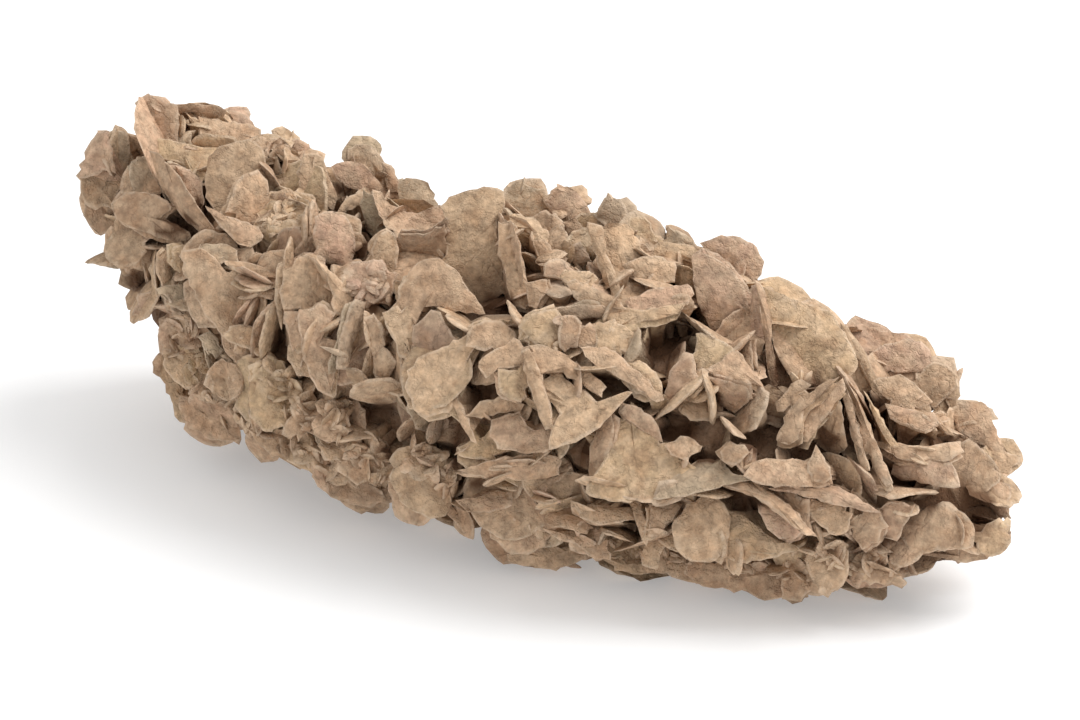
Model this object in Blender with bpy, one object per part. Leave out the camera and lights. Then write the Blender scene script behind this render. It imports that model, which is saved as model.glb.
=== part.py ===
"""Gypsum sand rose: a long cluster of lens-shaped blades of sandy gypsum, grown together as one solid.

The frame is in metres, with +Z up and +X along the rose. The origin is under the middle of the rose,
on the surface that it rests on.

The rose has a show side, and the blades of that side are set one by one. They are written down as they
are seen from the show point, through an upright window of 1080 by 720 steps. One step is 0.564 mm at
the middle of the rose. The rest of the rose is grown by rule from a fixed seed.
"""
import math
import random

import bmesh
import bpy
import numpy as np

# --- Whole rose ---------------------------------------------------------------------------------------
# Outer form along X: x, middle y, half width, underside z, top z (all in metres).
OUTER_FORM = np.array([
    (-0.300, 0.008, 0.020, 0.098, 0.130),
    (-0.280, 0.004, 0.048, 0.062, 0.160),
    (-0.245, 0.000, 0.074, 0.022, 0.180),
    (-0.190, 0.000, 0.090, 0.008, 0.180),
    (-0.110, -0.010, 0.106, 0.004, 0.168),
    (-0.020, -0.013, 0.110, 0.004, 0.170),
    (0.070, -0.008, 0.106, 0.004, 0.168),
    (0.150, 0.002, 0.090, 0.005, 0.142),
    (0.215, 0.008, 0.068, 0.008, 0.110),
    (0.250, 0.014, 0.046, 0.014, 0.086),
    (0.274, 0.018, 0.020, 0.030, 0.062),
])
END_FALLOFF = 0.02
FORM_POWER = 0.85          # below 1 the cross-section is a little squarer than an ellipse
FOOTPRINT_SHIFT = (0.0185, 0.0108)  # brings the middle of the footprint over the origin

# --- Show side ----------------------------------------------------------------------------------------
SHOW_AZIMUTH = math.radians(33.0)
SHOW_ELEVATION = math.radians(23.0)
SHOW_DISTANCE = 2.0
SHOW_AIM = np.array((0.0, 0.0, 0.088))
WINDOW_CENTRE = (540.0, 360.0)
WINDOW_DEPTH = 3546.0      # steps from the show point to the window
SIGHT_STEPS = np.arange(SHOW_DISTANCE - 0.42, SHOW_DISTANCE + 0.42, 0.002)
COVER_LEVEL = 0.90         # level of the outer form that surely covers what is behind it
BAY = (143, 336, 20, 25)   # a bay in the outline that stays open: across, down, half across, half down

# --- Blades -------------------------------------------------------------------------------------------
BLADE_BASE_THICKNESS = 0.0030
BLADE_THICKNESS_RATIO = 0.13   # added thickness for each metre of half length
BLADE_ROUNDNESS = 0.90         # half width of a blade over its half length
BLADE_RIM_WOBBLE = 0.07
RIM_POINTS_LARGE = 8
RIM_POINTS_MEDIUM = 7
RIM_POINTS_SMALL = 6
LARGE_BLADE = 0.022            # half length from which a blade gets the finest rim
MEDIUM_BLADE = 0.017
SMALLEST_SOLID_BLADE = 0.0188  # smaller ones are surface detail, unless they make the outline
SINK_RATIO = 0.45              # how much of a blade on edge is sunk into the rose
INNER_REACH = 0.35             # how much further a blade on edge reaches into the rose
ROOTED_FACING = 0.42            # cosine to the outward direction from which a blade has a root
ROOT_MARGIN = 0.003
ROOT_STEP = 0.001
ROOT_LEVEL = 0.50
ROOT_LONGEST = 0.045
BASE_SINK = 0.003              # how far every blade is sunk
EDGE_IN_SIGHT = 0.6            # share of the half thickness that widens a blade as it is seen
LEAST_FACING = 0.04            # a blade seen on edge still shows this much of its half length
LIFT_SCALE = 0.0007            # metres for one unit of lift

SMALLEST_OUTLINE_BLADE = 0.011
OUTLINE_LEVEL = 0.78           # nearest level of the outer form on the line of sight to the outline

# Each row: across, down, half length, half width, lean (degrees), lift.
# The first four are window steps. Lean is where the face that shows leans to, counter-clockwise
# from the right. Lift is in millimetres, towards the show point.
SHOW_BLADES = [
    # left_end
    (103, 160, 33, 22, 200, 0),
    (118, 152, 26, 11, 0, 4),
    (100, 208, 26, 17, 215, 0),
    (148, 182, 26, 20, 120, 2),
    (178, 163, 78, 30, 26, 4),
    (205, 197, 62, 22, 35, 6),
    (195, 185, 26, 12, 200, -6),
    (222, 190, 50, 22, 20, 6),
    (245, 205, 36, 20, -10, 2),
    (160, 118, 30, 26, 60, -4),
    (200, 112, 30, 10, 270, -4),
    (200, 130, 22, 8, 215, 0),
    (235, 118, 16, 10, 90, -4),
    (190, 152, 28, 10, 90, 2),
    (222, 130, 22, 14, 60, -2),
    (243, 150, 30, 24, 60, 0),
    (140, 215, 34, 26, 160, 0),
    (128, 250, 24, 18, 200, 2),
    (112, 258, 22, 9, 100, 4),
    (135, 280, 14, 10, 200, -4),
    (150, 300, 26, 12, 150, 4),
    (163, 270, 32, 7, 180, 2),
    (172, 265, 30, 6, 180, 4),
    (155, 275, 30, 6, 180, 0),
    (165, 228, 24, 12, 100, 0),
    (224, 284, 50, 38, 150, 6),
    (245, 268, 26, 6, 90, 8),
    (250, 280, 30, 7, 80, 8),
    (238, 312, 28, 3, 130, 8),
    (190, 312, 30, 8, 250, -2),
    # lower_left
    (180, 338, 24, 18, 190, 0),
    (175, 365, 18, 8, 120, 4),
    (198, 362, 20, 8, 60, 4),
    (186, 388, 20, 7, 100, 4),
    (228, 378, 22, 20, 200, 4),
    (270, 392, 42, 30, 200, 4),
    (215, 415, 30, 24, 230, 0),
    (178, 395, 18, 6, 190, 4),
    (185, 412, 14, 6, 200, 4),
    (265, 445, 20, 14, 230, -4),
    (235, 345, 24, 9, 80, 0),
    # crest_left
    (285, 140, 14, 12, 60, 0),
    (300, 148, 12, 14, 40, 0),
    (270, 152, 22, 16, 90, 0),
    (292, 160, 20, 9, 70, 2),
    (312, 156, 14, 8, 80, 0),
    (300, 178, 26, 16, 150, 2),
    (325, 190, 28, 7, 30, 4),
    (345, 172, 28, 14, 100, 0),
    (363, 156, 20, 16, 95, -4),
    (368, 176, 26, 16, 60, 0),
    (385, 178, 26, 10, 30, 2),
    (350, 200, 18, 9, 110, 0),
    (413, 193, 20, 20, 60, -6),
    (395, 215, 42, 20, 60, 2),
    (285, 217, 34, 24, 100, 2),
    (338, 238, 28, 24, 100, 2),
    (306, 232, 22, 5, 0, 6),
    (314, 225, 24, 5, 0, 4),
    # left_middle
    (280, 285, 42, 4, 180, 6),
    (288, 262, 22, 7, 0, 2),
    (302, 285, 30, 22, 130, 4),
    (332, 288, 38, 14, 215, 6),
    (317, 315, 18, 14, 100, 2),
    (325, 352, 52, 27, 185, 8),
    (332, 326, 18, 3, 120, 8),
    (346, 335, 36, 9, 10, 8),
    (348, 270, 14, 6, 120, 2),
    (372, 285, 26, 18, 100, 2),
    (385, 248, 24, 14, 190, 2),
    (396, 278, 22, 6, 150, 4),
    (420, 245, 28, 12, 250, -4),
    (438, 298, 46, 38, 110, 6),
    (372, 335, 22, 8, 20, 4),
    (390, 335, 28, 14, 60, 4),
    (408, 330, 26, 10, 30, 6),
    (432, 335, 30, 24, 100, 6),
    (268, 322, 22, 10, 160, 2),
    (290, 325, 22, 7, 180, 2),
    # lower_middle_left
    (300, 392, 24, 12, 130, 2),
    (438, 380, 40, 33, 130, 8),
    (378, 388, 26, 14, 270, 2),
    (350, 372, 32, 5, 90, 6),
    (385, 362, 16, 14, 200, 4),
    (398, 365, 24, 10, 180, 6),
    (392, 412, 22, 4, 120, 6),
    (350, 430, 34, 14, 95, 2),
    (334, 450, 22, 10, 100, 2),
    (365, 450, 24, 10, 100, 4),
    (350, 470, 36, 12, 90, 2),
    (325, 410, 22, 12, 100, 0),
    (300, 430, 20, 10, 130, 0),
    (420, 485, 36, 28, 190, 6),
    (440, 480, 22, 12, 170, 8),
    (445, 505, 26, 4, 50, 8),
    (365, 492, 26, 14, 250, -2),
    (450, 470, 34, 4, 0, 8),
    (466, 522, 18, 10, 200, 4),
    (478, 503, 34, 10, 90, 6),
    (515, 535, 32, 26, 225, 2),
    # crest_middle
    (475, 205, 36, 20, 90, -6),
    (473, 245, 54, 30, 200, 6),
    (525, 198, 22, 18, 80, -6),
    (567, 204, 24, 18, 80, -6),
    (510, 260, 48, 14, 185, 8),
    (537, 225, 26, 12, 60, 0),
    (545, 262, 26, 14, 200, 4),
    (545, 290, 20, 6, 80, 6),
    (575, 225, 18, 12, 100, 2),
    (575, 250, 16, 14, 200, 2),
    (605, 255, 46, 10, 180, 6),
    (590, 285, 34, 14, 95, 4),
    (560, 292, 14, 8, 90, 0),
    # middle
    (518, 318, 18, 5, 40, 6),
    (545, 335, 26, 24, 90, 4),
    (572, 335, 20, 16, 0, 4),
    (490, 332, 30, 14, 100, 4),
    (455, 316, 24, 5, 60, 6),
    (462, 326, 18, 5, 60, 6),
    (492, 365, 24, 16, 160, 4),
    (510, 382, 26, 14, 190, 6),
    (533, 370, 34, 7, 20, 8),
    (540, 400, 40, 5, 20, 8),
    (545, 405, 38, 5, 200, 8),
    (565, 365, 44, 16, 70, 4),
    (572, 405, 40, 26, 80, 6),
    (462, 410, 38, 4, 40, 10),
    (495, 408, 30, 10, 100, 2),
    (588, 338, 14, 14, 90, 6),
    (628, 364, 48, 14, 58, 6),
    # lower_middle
    (560, 425, 72, 28, 90, 8),
    (525, 466, 40, 14, 270, 2),
    (475, 450, 18, 10, 100, 2),
    (485, 472, 28, 5, 90, 4),
    (515, 490, 18, 8, 100, 2),
    (505, 498, 18, 6, 60, 4),
    (565, 512, 26, 4, 85, 6),
    (562, 524, 34, 8, 80, 6),
    (572, 538, 26, 6, 85, 6),
    (608, 508, 34, 10, 80, 4),
    (550, 558, 28, 12, 260, 0),
    (590, 545, 22, 14, 250, 0),
    (604, 450, 30, 13, 180, 8),
    (648, 478, 44, 26, 90, 6),
    (690, 450, 28, 14, 90, 6),
    (695, 482, 42, 14, 85, 6),
    (632, 425, 34, 14, 240, 4),
    (640, 430, 28, 5, 60, 8),
    (660, 512, 24, 16, 90, 0),
    (638, 517, 20, 4, 27, 4),
    (652, 540, 34, 5, 145, 8),
    (664, 545, 26, 5, 145, 6),
    (620, 552, 26, 20, 230, 0),
    (622, 535, 22, 6, 70, 2),
    (697, 528, 38, 28, 110, 6),
    (733, 545, 22, 8, 170, 6),
    # crest_right
    (614, 214, 22, 18, 80, -8),
    (641, 236, 24, 18, 60, -6),
    (682, 238, 18, 6, 50, -6),
    (732, 266, 36, 30, 80, -4),
    (720, 292, 46, 28, 200, 4),
    (650, 258, 40, 8, 85, 0),
    (642, 275, 34, 12, 95, 2),
    (660, 285, 30, 6, 75, 6),
    (652, 302, 46, 16, 82, 6),
    (757, 322, 44, 6, 180, 8),
    (766, 335, 46, 6, 0, 8),
    (780, 300, 26, 20, 70, -2),
    (812, 350, 50, 38, 45, 2),
    (815, 376, 44, 34, 70, 6),
    (850, 348, 46, 5, 32, 8),
    (868, 346, 30, 22, 60, -4),
    (905, 352, 28, 20, 60, -4),
    (935, 385, 30, 25, 60, -2),
    (947, 392, 22, 4, 144, 2),
    (903, 399, 34, 22, 95, 2),
    # right_middle
    (708, 333, 34, 5, 57, 8),
    (710, 350, 24, 18, 150, 6),
    (735, 348, 22, 4, 130, 8),
    (735, 368, 34, 12, 80, 6),
    (678, 372, 26, 12, 160, 4),
    (680, 396, 34, 6, 132, 10),
    (690, 402, 24, 18, 270, 2),
    (712, 398, 26, 5, 10, 8),
    (740, 398, 24, 14, 250, -4),
    (752, 412, 26, 16, 150, 0),
    (733, 430, 16, 4, 50, 6),
    (745, 460, 18, 14, 20, 2),
    (800, 412, 44, 14, 140, 6),
    (826, 410, 40, 12, 147, 8),
    (848, 430, 50, 7, 185, 8),
    (863, 432, 52, 8, 201, 10),
    (884, 425, 34, 5, 215, 8),
    (937, 423, 28, 4, 60, 6),
    (915, 420, 30, 10, 80, 0),
    (922, 466, 46, 18, 85, 8),
    (862, 475, 26, 8, 215, 2),
    # lower_right
    (768, 500, 40, 6, 55, 8),
    (742, 512, 24, 6, 55, 6),
    (785, 478, 42, 18, 85, 4),
    (830, 497, 52, 14, 92, 8),
    (818, 468, 24, 12, 160, 4),
    (770, 545, 36, 14, 90, 4),
    (755, 525, 30, 10, 100, 2),
    (795, 525, 20, 14, 150, 2),
    (830, 520, 28, 16, 100, 2),
    (865, 527, 26, 14, 110, 0),
    (895, 512, 22, 14, 120, -4),
    (900, 490, 32, 6, 85, 4),
    (937, 530, 36, 27, 100, 6),
    (991, 540, 19, 18, 140, 4),
    (820, 565, 30, 24, 200, 2),
    (790, 580, 24, 16, 220, 0),
    (740, 570, 30, 14, 250, 0),
    (700, 572, 30, 10, 260, 0),
    (875, 552, 18, 16, 200, 2),
    (905, 553, 20, 16, 120, 2),
    (880, 570, 26, 10, 250, 0),
    (955, 552, 20, 10, 250, 0),
    # right_end
    (968, 415, 26, 14, 80, -4),
    (990, 430, 26, 10, 10, 0),
    (1000, 458, 21, 18, 60, 0),
    (960, 430, 22, 8, 70, 2),
    (975, 450, 24, 7, 80, 4),
    (984, 486, 34, 20, 55, 4),
    (1002, 500, 20, 10, 20, 2),
    (965, 475, 26, 14, 100, 2),
]

# --- Grown blades -------------------------------------------------------------------------------------
GROWTH_SEED = 41
GROWN_COUNT = 53
GROWN_TRIES = 6000
SPINE_START = -0.225
SPINE_END = 0.215
GROWN_RADIUS = (0.026, 0.044)
GROWN_TILT = (25.0, 88.0)      # degrees between a blade and the surface that it stands on
GROWN_SPACING = 0.033
GROWN_BASE_SINK = 0.003
SURFACE_REACHES = np.arange(0.0, 0.14, 0.001)[:, None]  # distances from the spine that are tried
SLOPE_NUDGE = 0.004            # step over which the slope of the outer form is measured
NEARLY_UPRIGHT = 0.9
GROWN_EDGE_SINK = 0.68
OUTLINE_POINTS = 12
SHOW_LIMIT = 0.45              # cosine to the show direction above which the show blades take over

# --- Blades that it rests on: x, y, half length (metres), turn and tilt (degrees) ----------------------
RESTING_BLADES = [
    (-0.165, -0.006, 0.034, 20.0, 16.0),
    (-0.120, 0.052, 0.036, 75.0, 14.0),
    (-0.030, -0.036, 0.034, 140.0, 15.0),
    (0.000, 0.044, 0.038, 10.0, 13.0),
    (0.090, -0.030, 0.034, 50.0, 14.0),
    (0.130, 0.036, 0.034, 110.0, 16.0),
    (0.200, 0.004, 0.030, 160.0, 15.0),
]
TRIMMED_DEPTH = 0.002          # how far a resting blade is trimmed

# --- Core ---------------------------------------------------------------------------------------------
CORE_INSET = 0.023
CORE_RING_POINTS = 14
CORE_LEAST_WIDTH = 0.012       # half width and half height where the rose is thin
CORE_LEAST_HEIGHT = 0.010
SANDY_COLOUR = (0.42, 0.29, 0.19, 1.0)
SANDY_ROUGHNESS = 0.85

SOLID_NAME = "sand_rose"
TRIM_DEPTH = 0.100             # height of the block that trims the underside flat


def show_axes():
    """Directions of the show window: towards the viewer, right and up."""
    cos_a, sin_a = math.cos(SHOW_AZIMUTH), math.sin(SHOW_AZIMUTH)
    cos_e, sin_e = math.cos(SHOW_ELEVATION), math.sin(SHOW_ELEVATION)
    back = np.array((sin_a * cos_e, -cos_a * cos_e, sin_e))
    right = np.array((cos_a, sin_a, 0.0))
    return back, right, np.cross(back, right)


BACK, RIGHT, UP = show_axes()
SHOW_POINT = SHOW_AIM + BACK * SHOW_DISTANCE


def form_at(x):
    """Middle y, half width, middle z and half height of the outer form at x."""
    middle_y, half_width, low, high = (
        np.interp(x, OUTER_FORM[:, 0], OUTER_FORM[:, column]) for column in range(1, 5)
    )
    return middle_y, half_width, (low + high) / 2, (high - low) / 2


def form_level(points):
    """Below 1 inside the outer form, 1 on it, above 1 outside. Takes one point or an array of them."""
    points = np.asarray(points)
    x = points[..., 0]
    middle_y, half_width, middle_z, half_height = form_at(x)
    across = np.abs(points[..., 1] - middle_y) / half_width
    along = np.abs(points[..., 2] - middle_z) / half_height
    level = (across ** (2 / FORM_POWER) + along ** (2 / FORM_POWER)) ** (FORM_POWER / 2)
    past_end = np.maximum(np.maximum(OUTER_FORM[0, 0] - x, x - OUTER_FORM[-1, 0]), 0.0)
    return level + past_end / END_FALLOFF


def sight_line(across, down):
    """Points along the line of sight through a place in the window."""
    line = -BACK + RIGHT * (across - WINDOW_CENTRE[0]) / WINDOW_DEPTH
    line = line - UP * (down - WINDOW_CENTRE[1]) / WINDOW_DEPTH
    line = line / np.linalg.norm(line)
    return SHOW_POINT + line * SIGHT_STEPS[:, None]


def touch_point(across, down):
    """Where the line of sight through a window place first meets the outer form, or passes nearest."""
    points = sight_line(across, down)
    levels = form_level(points)
    inside = np.flatnonzero(levels < 1.0)
    return points[inside[0]] if len(inside) else points[np.argmin(levels)]


def window_place(point):
    """Across and down, in window steps, of a point in space."""
    offset = point - SHOW_POINT
    depth = -np.dot(offset, BACK)
    across = WINDOW_CENTRE[0] + WINDOW_DEPTH * np.dot(offset, RIGHT) / depth
    down = WINDOW_CENTRE[1] - WINDOW_DEPTH * np.dot(offset, UP) / depth
    return across, down


def behind_show_side(point):
    """True where the outer form or a blade of the show side covers a point, seen from the show point."""
    across, down = window_place(point)
    if math.hypot((across - BAY[0]) / BAY[2], (down - BAY[1]) / BAY[3]) < 1.0:
        return False
    if form_level(sight_line(across, down)).min() < COVER_LEVEL:
        return True
    for row in SHOW_BLADES:
        lean = math.radians(row[4])
        right, up = across - row[0], row[1] - down
        long_part = -math.sin(lean) * right + math.cos(lean) * up
        wide_part = math.cos(lean) * right + math.sin(lean) * up
        if math.hypot(long_part / row[2], wide_part / row[3]) < 1.0:
            return True
    return False


def blade_thickness(half_length):
    return BLADE_BASE_THICKNESS + BLADE_THICKNESS_RATIO * half_length


def show_blade(row):
    """Centre, normal, long axis, outward direction and half length of a blade of the show side."""
    across, down, half_long, half_wide, lean, lift = row
    surface = touch_point(across, down)
    depth = np.dot(SHOW_POINT - surface, BACK)
    step = depth / WINDOW_DEPTH
    half_length = half_long * step
    edge = EDGE_IN_SIGHT * blade_thickness(half_length) / 2 / step
    flat_width = max(half_wide - edge, LEAST_FACING * half_long)
    cos_tilt = min(flat_width / (BLADE_ROUNDNESS * half_long), 1.0)
    sin_tilt = math.sqrt(1.0 - cos_tilt ** 2)
    lean = math.radians(lean)
    toward = SHOW_POINT - surface
    toward = toward / np.linalg.norm(toward)
    side = math.cos(lean) * RIGHT + math.sin(lean) * UP
    normal = cos_tilt * toward + sin_tilt * side
    long_axis = -math.sin(lean) * RIGHT + math.cos(lean) * UP
    normal = normal - long_axis * np.dot(normal, long_axis)
    normal = normal / np.linalg.norm(normal)
    rise = LIFT_SCALE * lift - BASE_SINK - SINK_RATIO * half_length * sin_tilt
    return surface + toward * rise, normal, long_axis, toward, half_length


def in_solid(row):
    """Large blades are in the solid, and so are small ones that make the outline."""
    step = SHOW_DISTANCE / WINDOW_DEPTH
    if row[2] * step >= SMALLEST_SOLID_BLADE:
        return True
    on_outline = form_level(sight_line(row[0], row[1])).min() > OUTLINE_LEVEL
    return on_outline and row[2] * step >= SMALLEST_OUTLINE_BLADE


def rim_outline(blade):
    """Points around the rim of a blade."""
    centre, normal, long_axis, _, half_length = blade
    wide_axis = np.cross(normal, long_axis)
    turns = [2 * math.pi * index / OUTLINE_POINTS for index in range(OUTLINE_POINTS)]
    return [
        centre + half_length * (math.cos(turn) * long_axis + math.sin(turn) * wide_axis)
        for turn in turns
    ]


def resting_blades():
    """Blades that lie almost flat under the rose and are trimmed by the resting plane."""
    blades = []
    for x, y, half_length, turn, tilt in RESTING_BLADES:
        turn, tilt = math.radians(turn), math.radians(tilt)
        long_axis = np.array((math.cos(turn), math.sin(turn), 0.0))
        level_axis = np.array((-math.sin(turn), math.cos(turn), 0.0))
        normal = math.sin(tilt) * level_axis - math.cos(tilt) * np.array((0.0, 0.0, 1.0))
        height = BLADE_ROUNDNESS * half_length * math.sin(tilt) - TRIMMED_DEPTH
        centre = np.array((x, y, height))
        blades.append((centre, normal, long_axis, np.array((0.0, 0.0, -1.0)), half_length))
    return blades


def surface_place(generator):
    """A place on the outer form and the outward direction there, at the ends as well as along the sides."""
    x = generator.uniform(OUTER_FORM[0, 0], OUTER_FORM[-1, 0])
    spine_x = min(max(x, SPINE_START), SPINE_END)
    end_room = OUTER_FORM[-1, 0] - SPINE_END if x > spine_x else SPINE_START - OUTER_FORM[0, 0]
    end_turn = (x - spine_x) / end_room * math.pi / 2
    turn = generator.uniform(0.0, 2 * math.pi)
    across = math.cos(end_turn)
    direction = np.array((math.sin(end_turn), across * math.cos(turn), across * math.sin(turn)))
    middle_y, _, middle_z, _ = form_at(spine_x)
    points = np.array((spine_x, middle_y, middle_z)) + direction * SURFACE_REACHES
    place = points[np.argmax(form_level(points) >= 1.0)]
    nudges = np.eye(3) * SLOPE_NUDGE
    outward = form_level(place + nudges) - form_level(place - nudges)
    return place, outward / np.linalg.norm(outward)


def grown_blades(generator):
    """Blades by rule over the back, the top and the underside."""
    blades = []
    places = []
    tries = 0
    while len(blades) < GROWN_COUNT and tries < GROWN_TRIES:
        tries += 1
        place, outward = surface_place(generator)
        if np.dot(outward, BACK) > SHOW_LIMIT:
            continue
        if any(np.linalg.norm(place - other) < GROWN_SPACING for other in places):
            continue
        radius = generator.uniform(*GROWN_RADIUS)
        tilt = math.radians(generator.uniform(*GROWN_TILT))
        spin = generator.uniform(0.0, 2 * math.pi)
        along = np.cross(outward, (0.0, 0.0, 1.0) if abs(outward[2]) < NEARLY_UPRIGHT else (1.0, 0.0, 0.0))
        along = along / np.linalg.norm(along)
        beside = np.cross(outward, along)
        lean = math.cos(spin) * along + math.sin(spin) * beside
        normal = math.cos(tilt) * outward + math.sin(tilt) * lean
        long_axis = np.cross(normal, outward)
        long_axis = long_axis / np.linalg.norm(long_axis)
        sink = GROWN_BASE_SINK + radius * GROWN_EDGE_SINK * math.sin(tilt) ** 2
        blade = (place - outward * sink, normal, long_axis, outward, radius)
        if all(behind_show_side(point) for point in rim_outline(blade)):
            places.append(place)
            blades.append(blade)
    return blades


def core_holds(point):
    """True well inside the core."""
    in_length = OUTER_FORM[1, 0] + ROOT_MARGIN < point[0] < OUTER_FORM[-2, 0] - ROOT_MARGIN
    return in_length and form_level(point) < ROOT_LEVEL


def root_point(centre, normal, half_thickness):
    """The point behind a blade, inside the core, that its rear face tapers to."""
    aim_x = np.clip(centre[0], OUTER_FORM[2, 0], OUTER_FORM[-3, 0])
    middle_y, _, middle_z, _ = form_at(aim_x)
    inward = np.array((aim_x, middle_y, middle_z)) - centre
    inward = inward / np.linalg.norm(inward)
    depth = 0.0
    while not core_holds(centre + inward * depth) and depth < ROOT_LONGEST:
        depth += ROOT_STEP
    point = centre + inward * depth
    behind = np.dot(point - centre, normal)
    if behind > -half_thickness:
        point = point - normal * (behind + half_thickness)
    return point


def blade_mesh(name, centre, normal, long_axis, outward, half_length, generator):
    """A double-sided lens with a rim of straight chords and one crown point on each face.

    A blade that faces outwards, or that would float free, tapers behind to a root in the core.
    A blade on edge reaches deeper.
    """
    wide_axis = np.cross(normal, long_axis)
    if half_length >= LARGE_BLADE:
        rim_points = RIM_POINTS_LARGE
    elif half_length >= MEDIUM_BLADE:
        rim_points = RIM_POINTS_MEDIUM
    else:
        rim_points = RIM_POINTS_SMALL
    start = generator.uniform(0.0, 2 * math.pi)
    half_thickness = blade_thickness(half_length) / 2
    mesh = bmesh.new()
    rim = []
    held = core_holds(centre)
    for index in range(rim_points):
        angle = start + 2 * math.pi * index / rim_points
        reach = half_length * (1.0 + generator.uniform(-BLADE_RIM_WOBBLE, BLADE_RIM_WOBBLE))
        offset = long_axis * reach * math.cos(angle)
        offset = offset + wide_axis * reach * BLADE_ROUNDNESS * math.sin(angle)
        inner = max(-np.dot(offset, outward) / reach, 0.0)
        point = centre + offset * (1.0 + INNER_REACH * inner)
        held = held or core_holds(point)
        rim.append(mesh.verts.new(point))
    front = mesh.verts.new(centre + normal * half_thickness)
    if np.dot(normal, outward) > ROOTED_FACING or not held:
        rear = mesh.verts.new(root_point(centre, normal, half_thickness))
    else:
        rear = mesh.verts.new(centre - normal * half_thickness)
    for index, corner in enumerate(rim):
        following = rim[(index + 1) % rim_points]
        mesh.faces.new((corner, following, front))
        mesh.faces.new((following, corner, rear))
    bmesh.ops.recalc_face_normals(mesh, faces=mesh.faces)
    return finish_mesh(name, mesh)


def core_mesh(name):
    """The sandy heart that carries the blades: the outer form, drawn in on all sides."""
    mesh = bmesh.new()
    rings = []
    for x in OUTER_FORM[1:-1, 0]:
        middle_y, half_width, middle_z, half_height = form_at(x)
        half_width = max(half_width - CORE_INSET, CORE_LEAST_WIDTH)
        half_height = max(half_height - CORE_INSET, CORE_LEAST_HEIGHT)
        ring = []
        for index in range(CORE_RING_POINTS):
            angle = 2 * math.pi * (index + 0.5) / CORE_RING_POINTS
            cos_a, sin_a = math.cos(angle), math.sin(angle)
            y = middle_y + half_width * math.copysign(abs(cos_a) ** FORM_POWER, cos_a)
            z = middle_z + half_height * math.copysign(abs(sin_a) ** FORM_POWER, sin_a)
            ring.append(mesh.verts.new((x, y, z)))
        rings.append(ring)
    for ring, following in zip(rings, rings[1:]):
        for index in range(CORE_RING_POINTS):
            beside = (index + 1) % CORE_RING_POINTS
            mesh.faces.new((ring[index], ring[beside], following[beside], following[index]))
    mesh.faces.new(rings[0])
    mesh.faces.new(reversed(rings[-1]))
    bmesh.ops.triangulate(mesh, faces=mesh.faces)
    bmesh.ops.recalc_face_normals(mesh, faces=mesh.faces)
    return finish_mesh(name, mesh)


def finish_mesh(name, mesh):
    data = bpy.data.meshes.new(name)
    mesh.to_mesh(data)
    mesh.free()
    return bpy.data.objects.new(name, data)


def sand_material():
    material = bpy.data.materials.new("sandy_gypsum")
    material.use_nodes = True
    shader = material.node_tree.nodes["Principled BSDF"]
    shader.inputs["Base Color"].default_value = SANDY_COLOUR
    shader.inputs["Roughness"].default_value = SANDY_ROUGHNESS
    shader.inputs["Metallic"].default_value = 0.0
    return material


def clear_scene():
    for item in list(bpy.data.objects):
        bpy.data.objects.remove(item, do_unlink=True)


def trim_block():
    """Everything under the resting plane is cut away, which leaves small flats on the lowest blades."""
    mesh = bmesh.new()
    bmesh.ops.create_cube(mesh, size=1.0)
    for corner in mesh.verts:
        corner.co.z = (corner.co.z - 0.5) * TRIM_DEPTH
    return finish_mesh("trim_block", mesh)


def helper_look(item):
    item.hide_render = True
    item.display_type = "WIRE"


def connected_corners(corner, seen):
    """All corners of the body that a corner belongs to."""
    body = []
    waiting = [corner]
    seen.add(corner)
    while waiting:
        current = waiting.pop()
        body.append(current)
        for edge in current.link_edges:
            other = edge.other_vert(current)
            if other not in seen:
                seen.add(other)
                waiting.append(other)
    return body


def keep_one_body(rose):
    """Apply the modifiers, then fill the tiny sealed pockets that the union leaves between blades."""
    graph = bpy.context.evaluated_depsgraph_get()
    mesh = bmesh.new()
    mesh.from_mesh(rose.evaluated_get(graph).to_mesh())
    bmesh.ops.triangulate(mesh, faces=mesh.faces)
    seen = set()
    bodies = [connected_corners(corner, seen) for corner in mesh.verts if corner not in seen]
    bodies.sort(key=len)
    for body in bodies[:-1]:
        bmesh.ops.delete(mesh, geom=body, context="VERTS")
    rose.modifiers.clear()
    mesh.to_mesh(rose.data)
    mesh.free()


def build():
    clear_scene()
    generator = random.Random(GROWTH_SEED)
    blades = [show_blade(row) for row in SHOW_BLADES if in_solid(row)]
    blades += resting_blades()
    blades += grown_blades(generator)

    scene_collection = bpy.context.scene.collection
    helpers = bpy.data.collections.new("blades")
    scene_collection.children.link(helpers)
    for index, blade in enumerate(blades):
        item = blade_mesh(f"blade_{index:03d}", *blade, generator)
        helpers.objects.link(item)
        helper_look(item)

    rose = core_mesh(SOLID_NAME)
    scene_collection.objects.link(rose)
    rose.data.materials.append(sand_material())
    grow = rose.modifiers.new("grow_together", "BOOLEAN")
    grow.operation = "UNION"
    grow.solver = "EXACT"
    grow.operand_type = "COLLECTION"
    grow.collection = helpers

    block = trim_block()
    scene_collection.objects.link(block)
    helper_look(block)
    trim = rose.modifiers.new("trim_underside", "BOOLEAN")
    trim.operation = "DIFFERENCE"
    trim.solver = "EXACT"
    trim.object = block
    keep_one_body(rose)
    rose.location = (FOOTPRINT_SHIFT[0], FOOTPRINT_SHIFT[1], 0.0)
    return rose


build()
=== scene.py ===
"""Looks of the gypsum sand rose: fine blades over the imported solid, sandy material, pale floor, soft light.

The rose is built in its growth frame, the one its blades are written down in, and is moved over the
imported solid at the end. Lengths are in metres and angles in degrees, unless a name says otherwise.
Places that were read off the photograph are in its pixels (1080 by 720).
"""

import math
import random

import bpy
import numpy as np
from mathutils import Matrix


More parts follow.
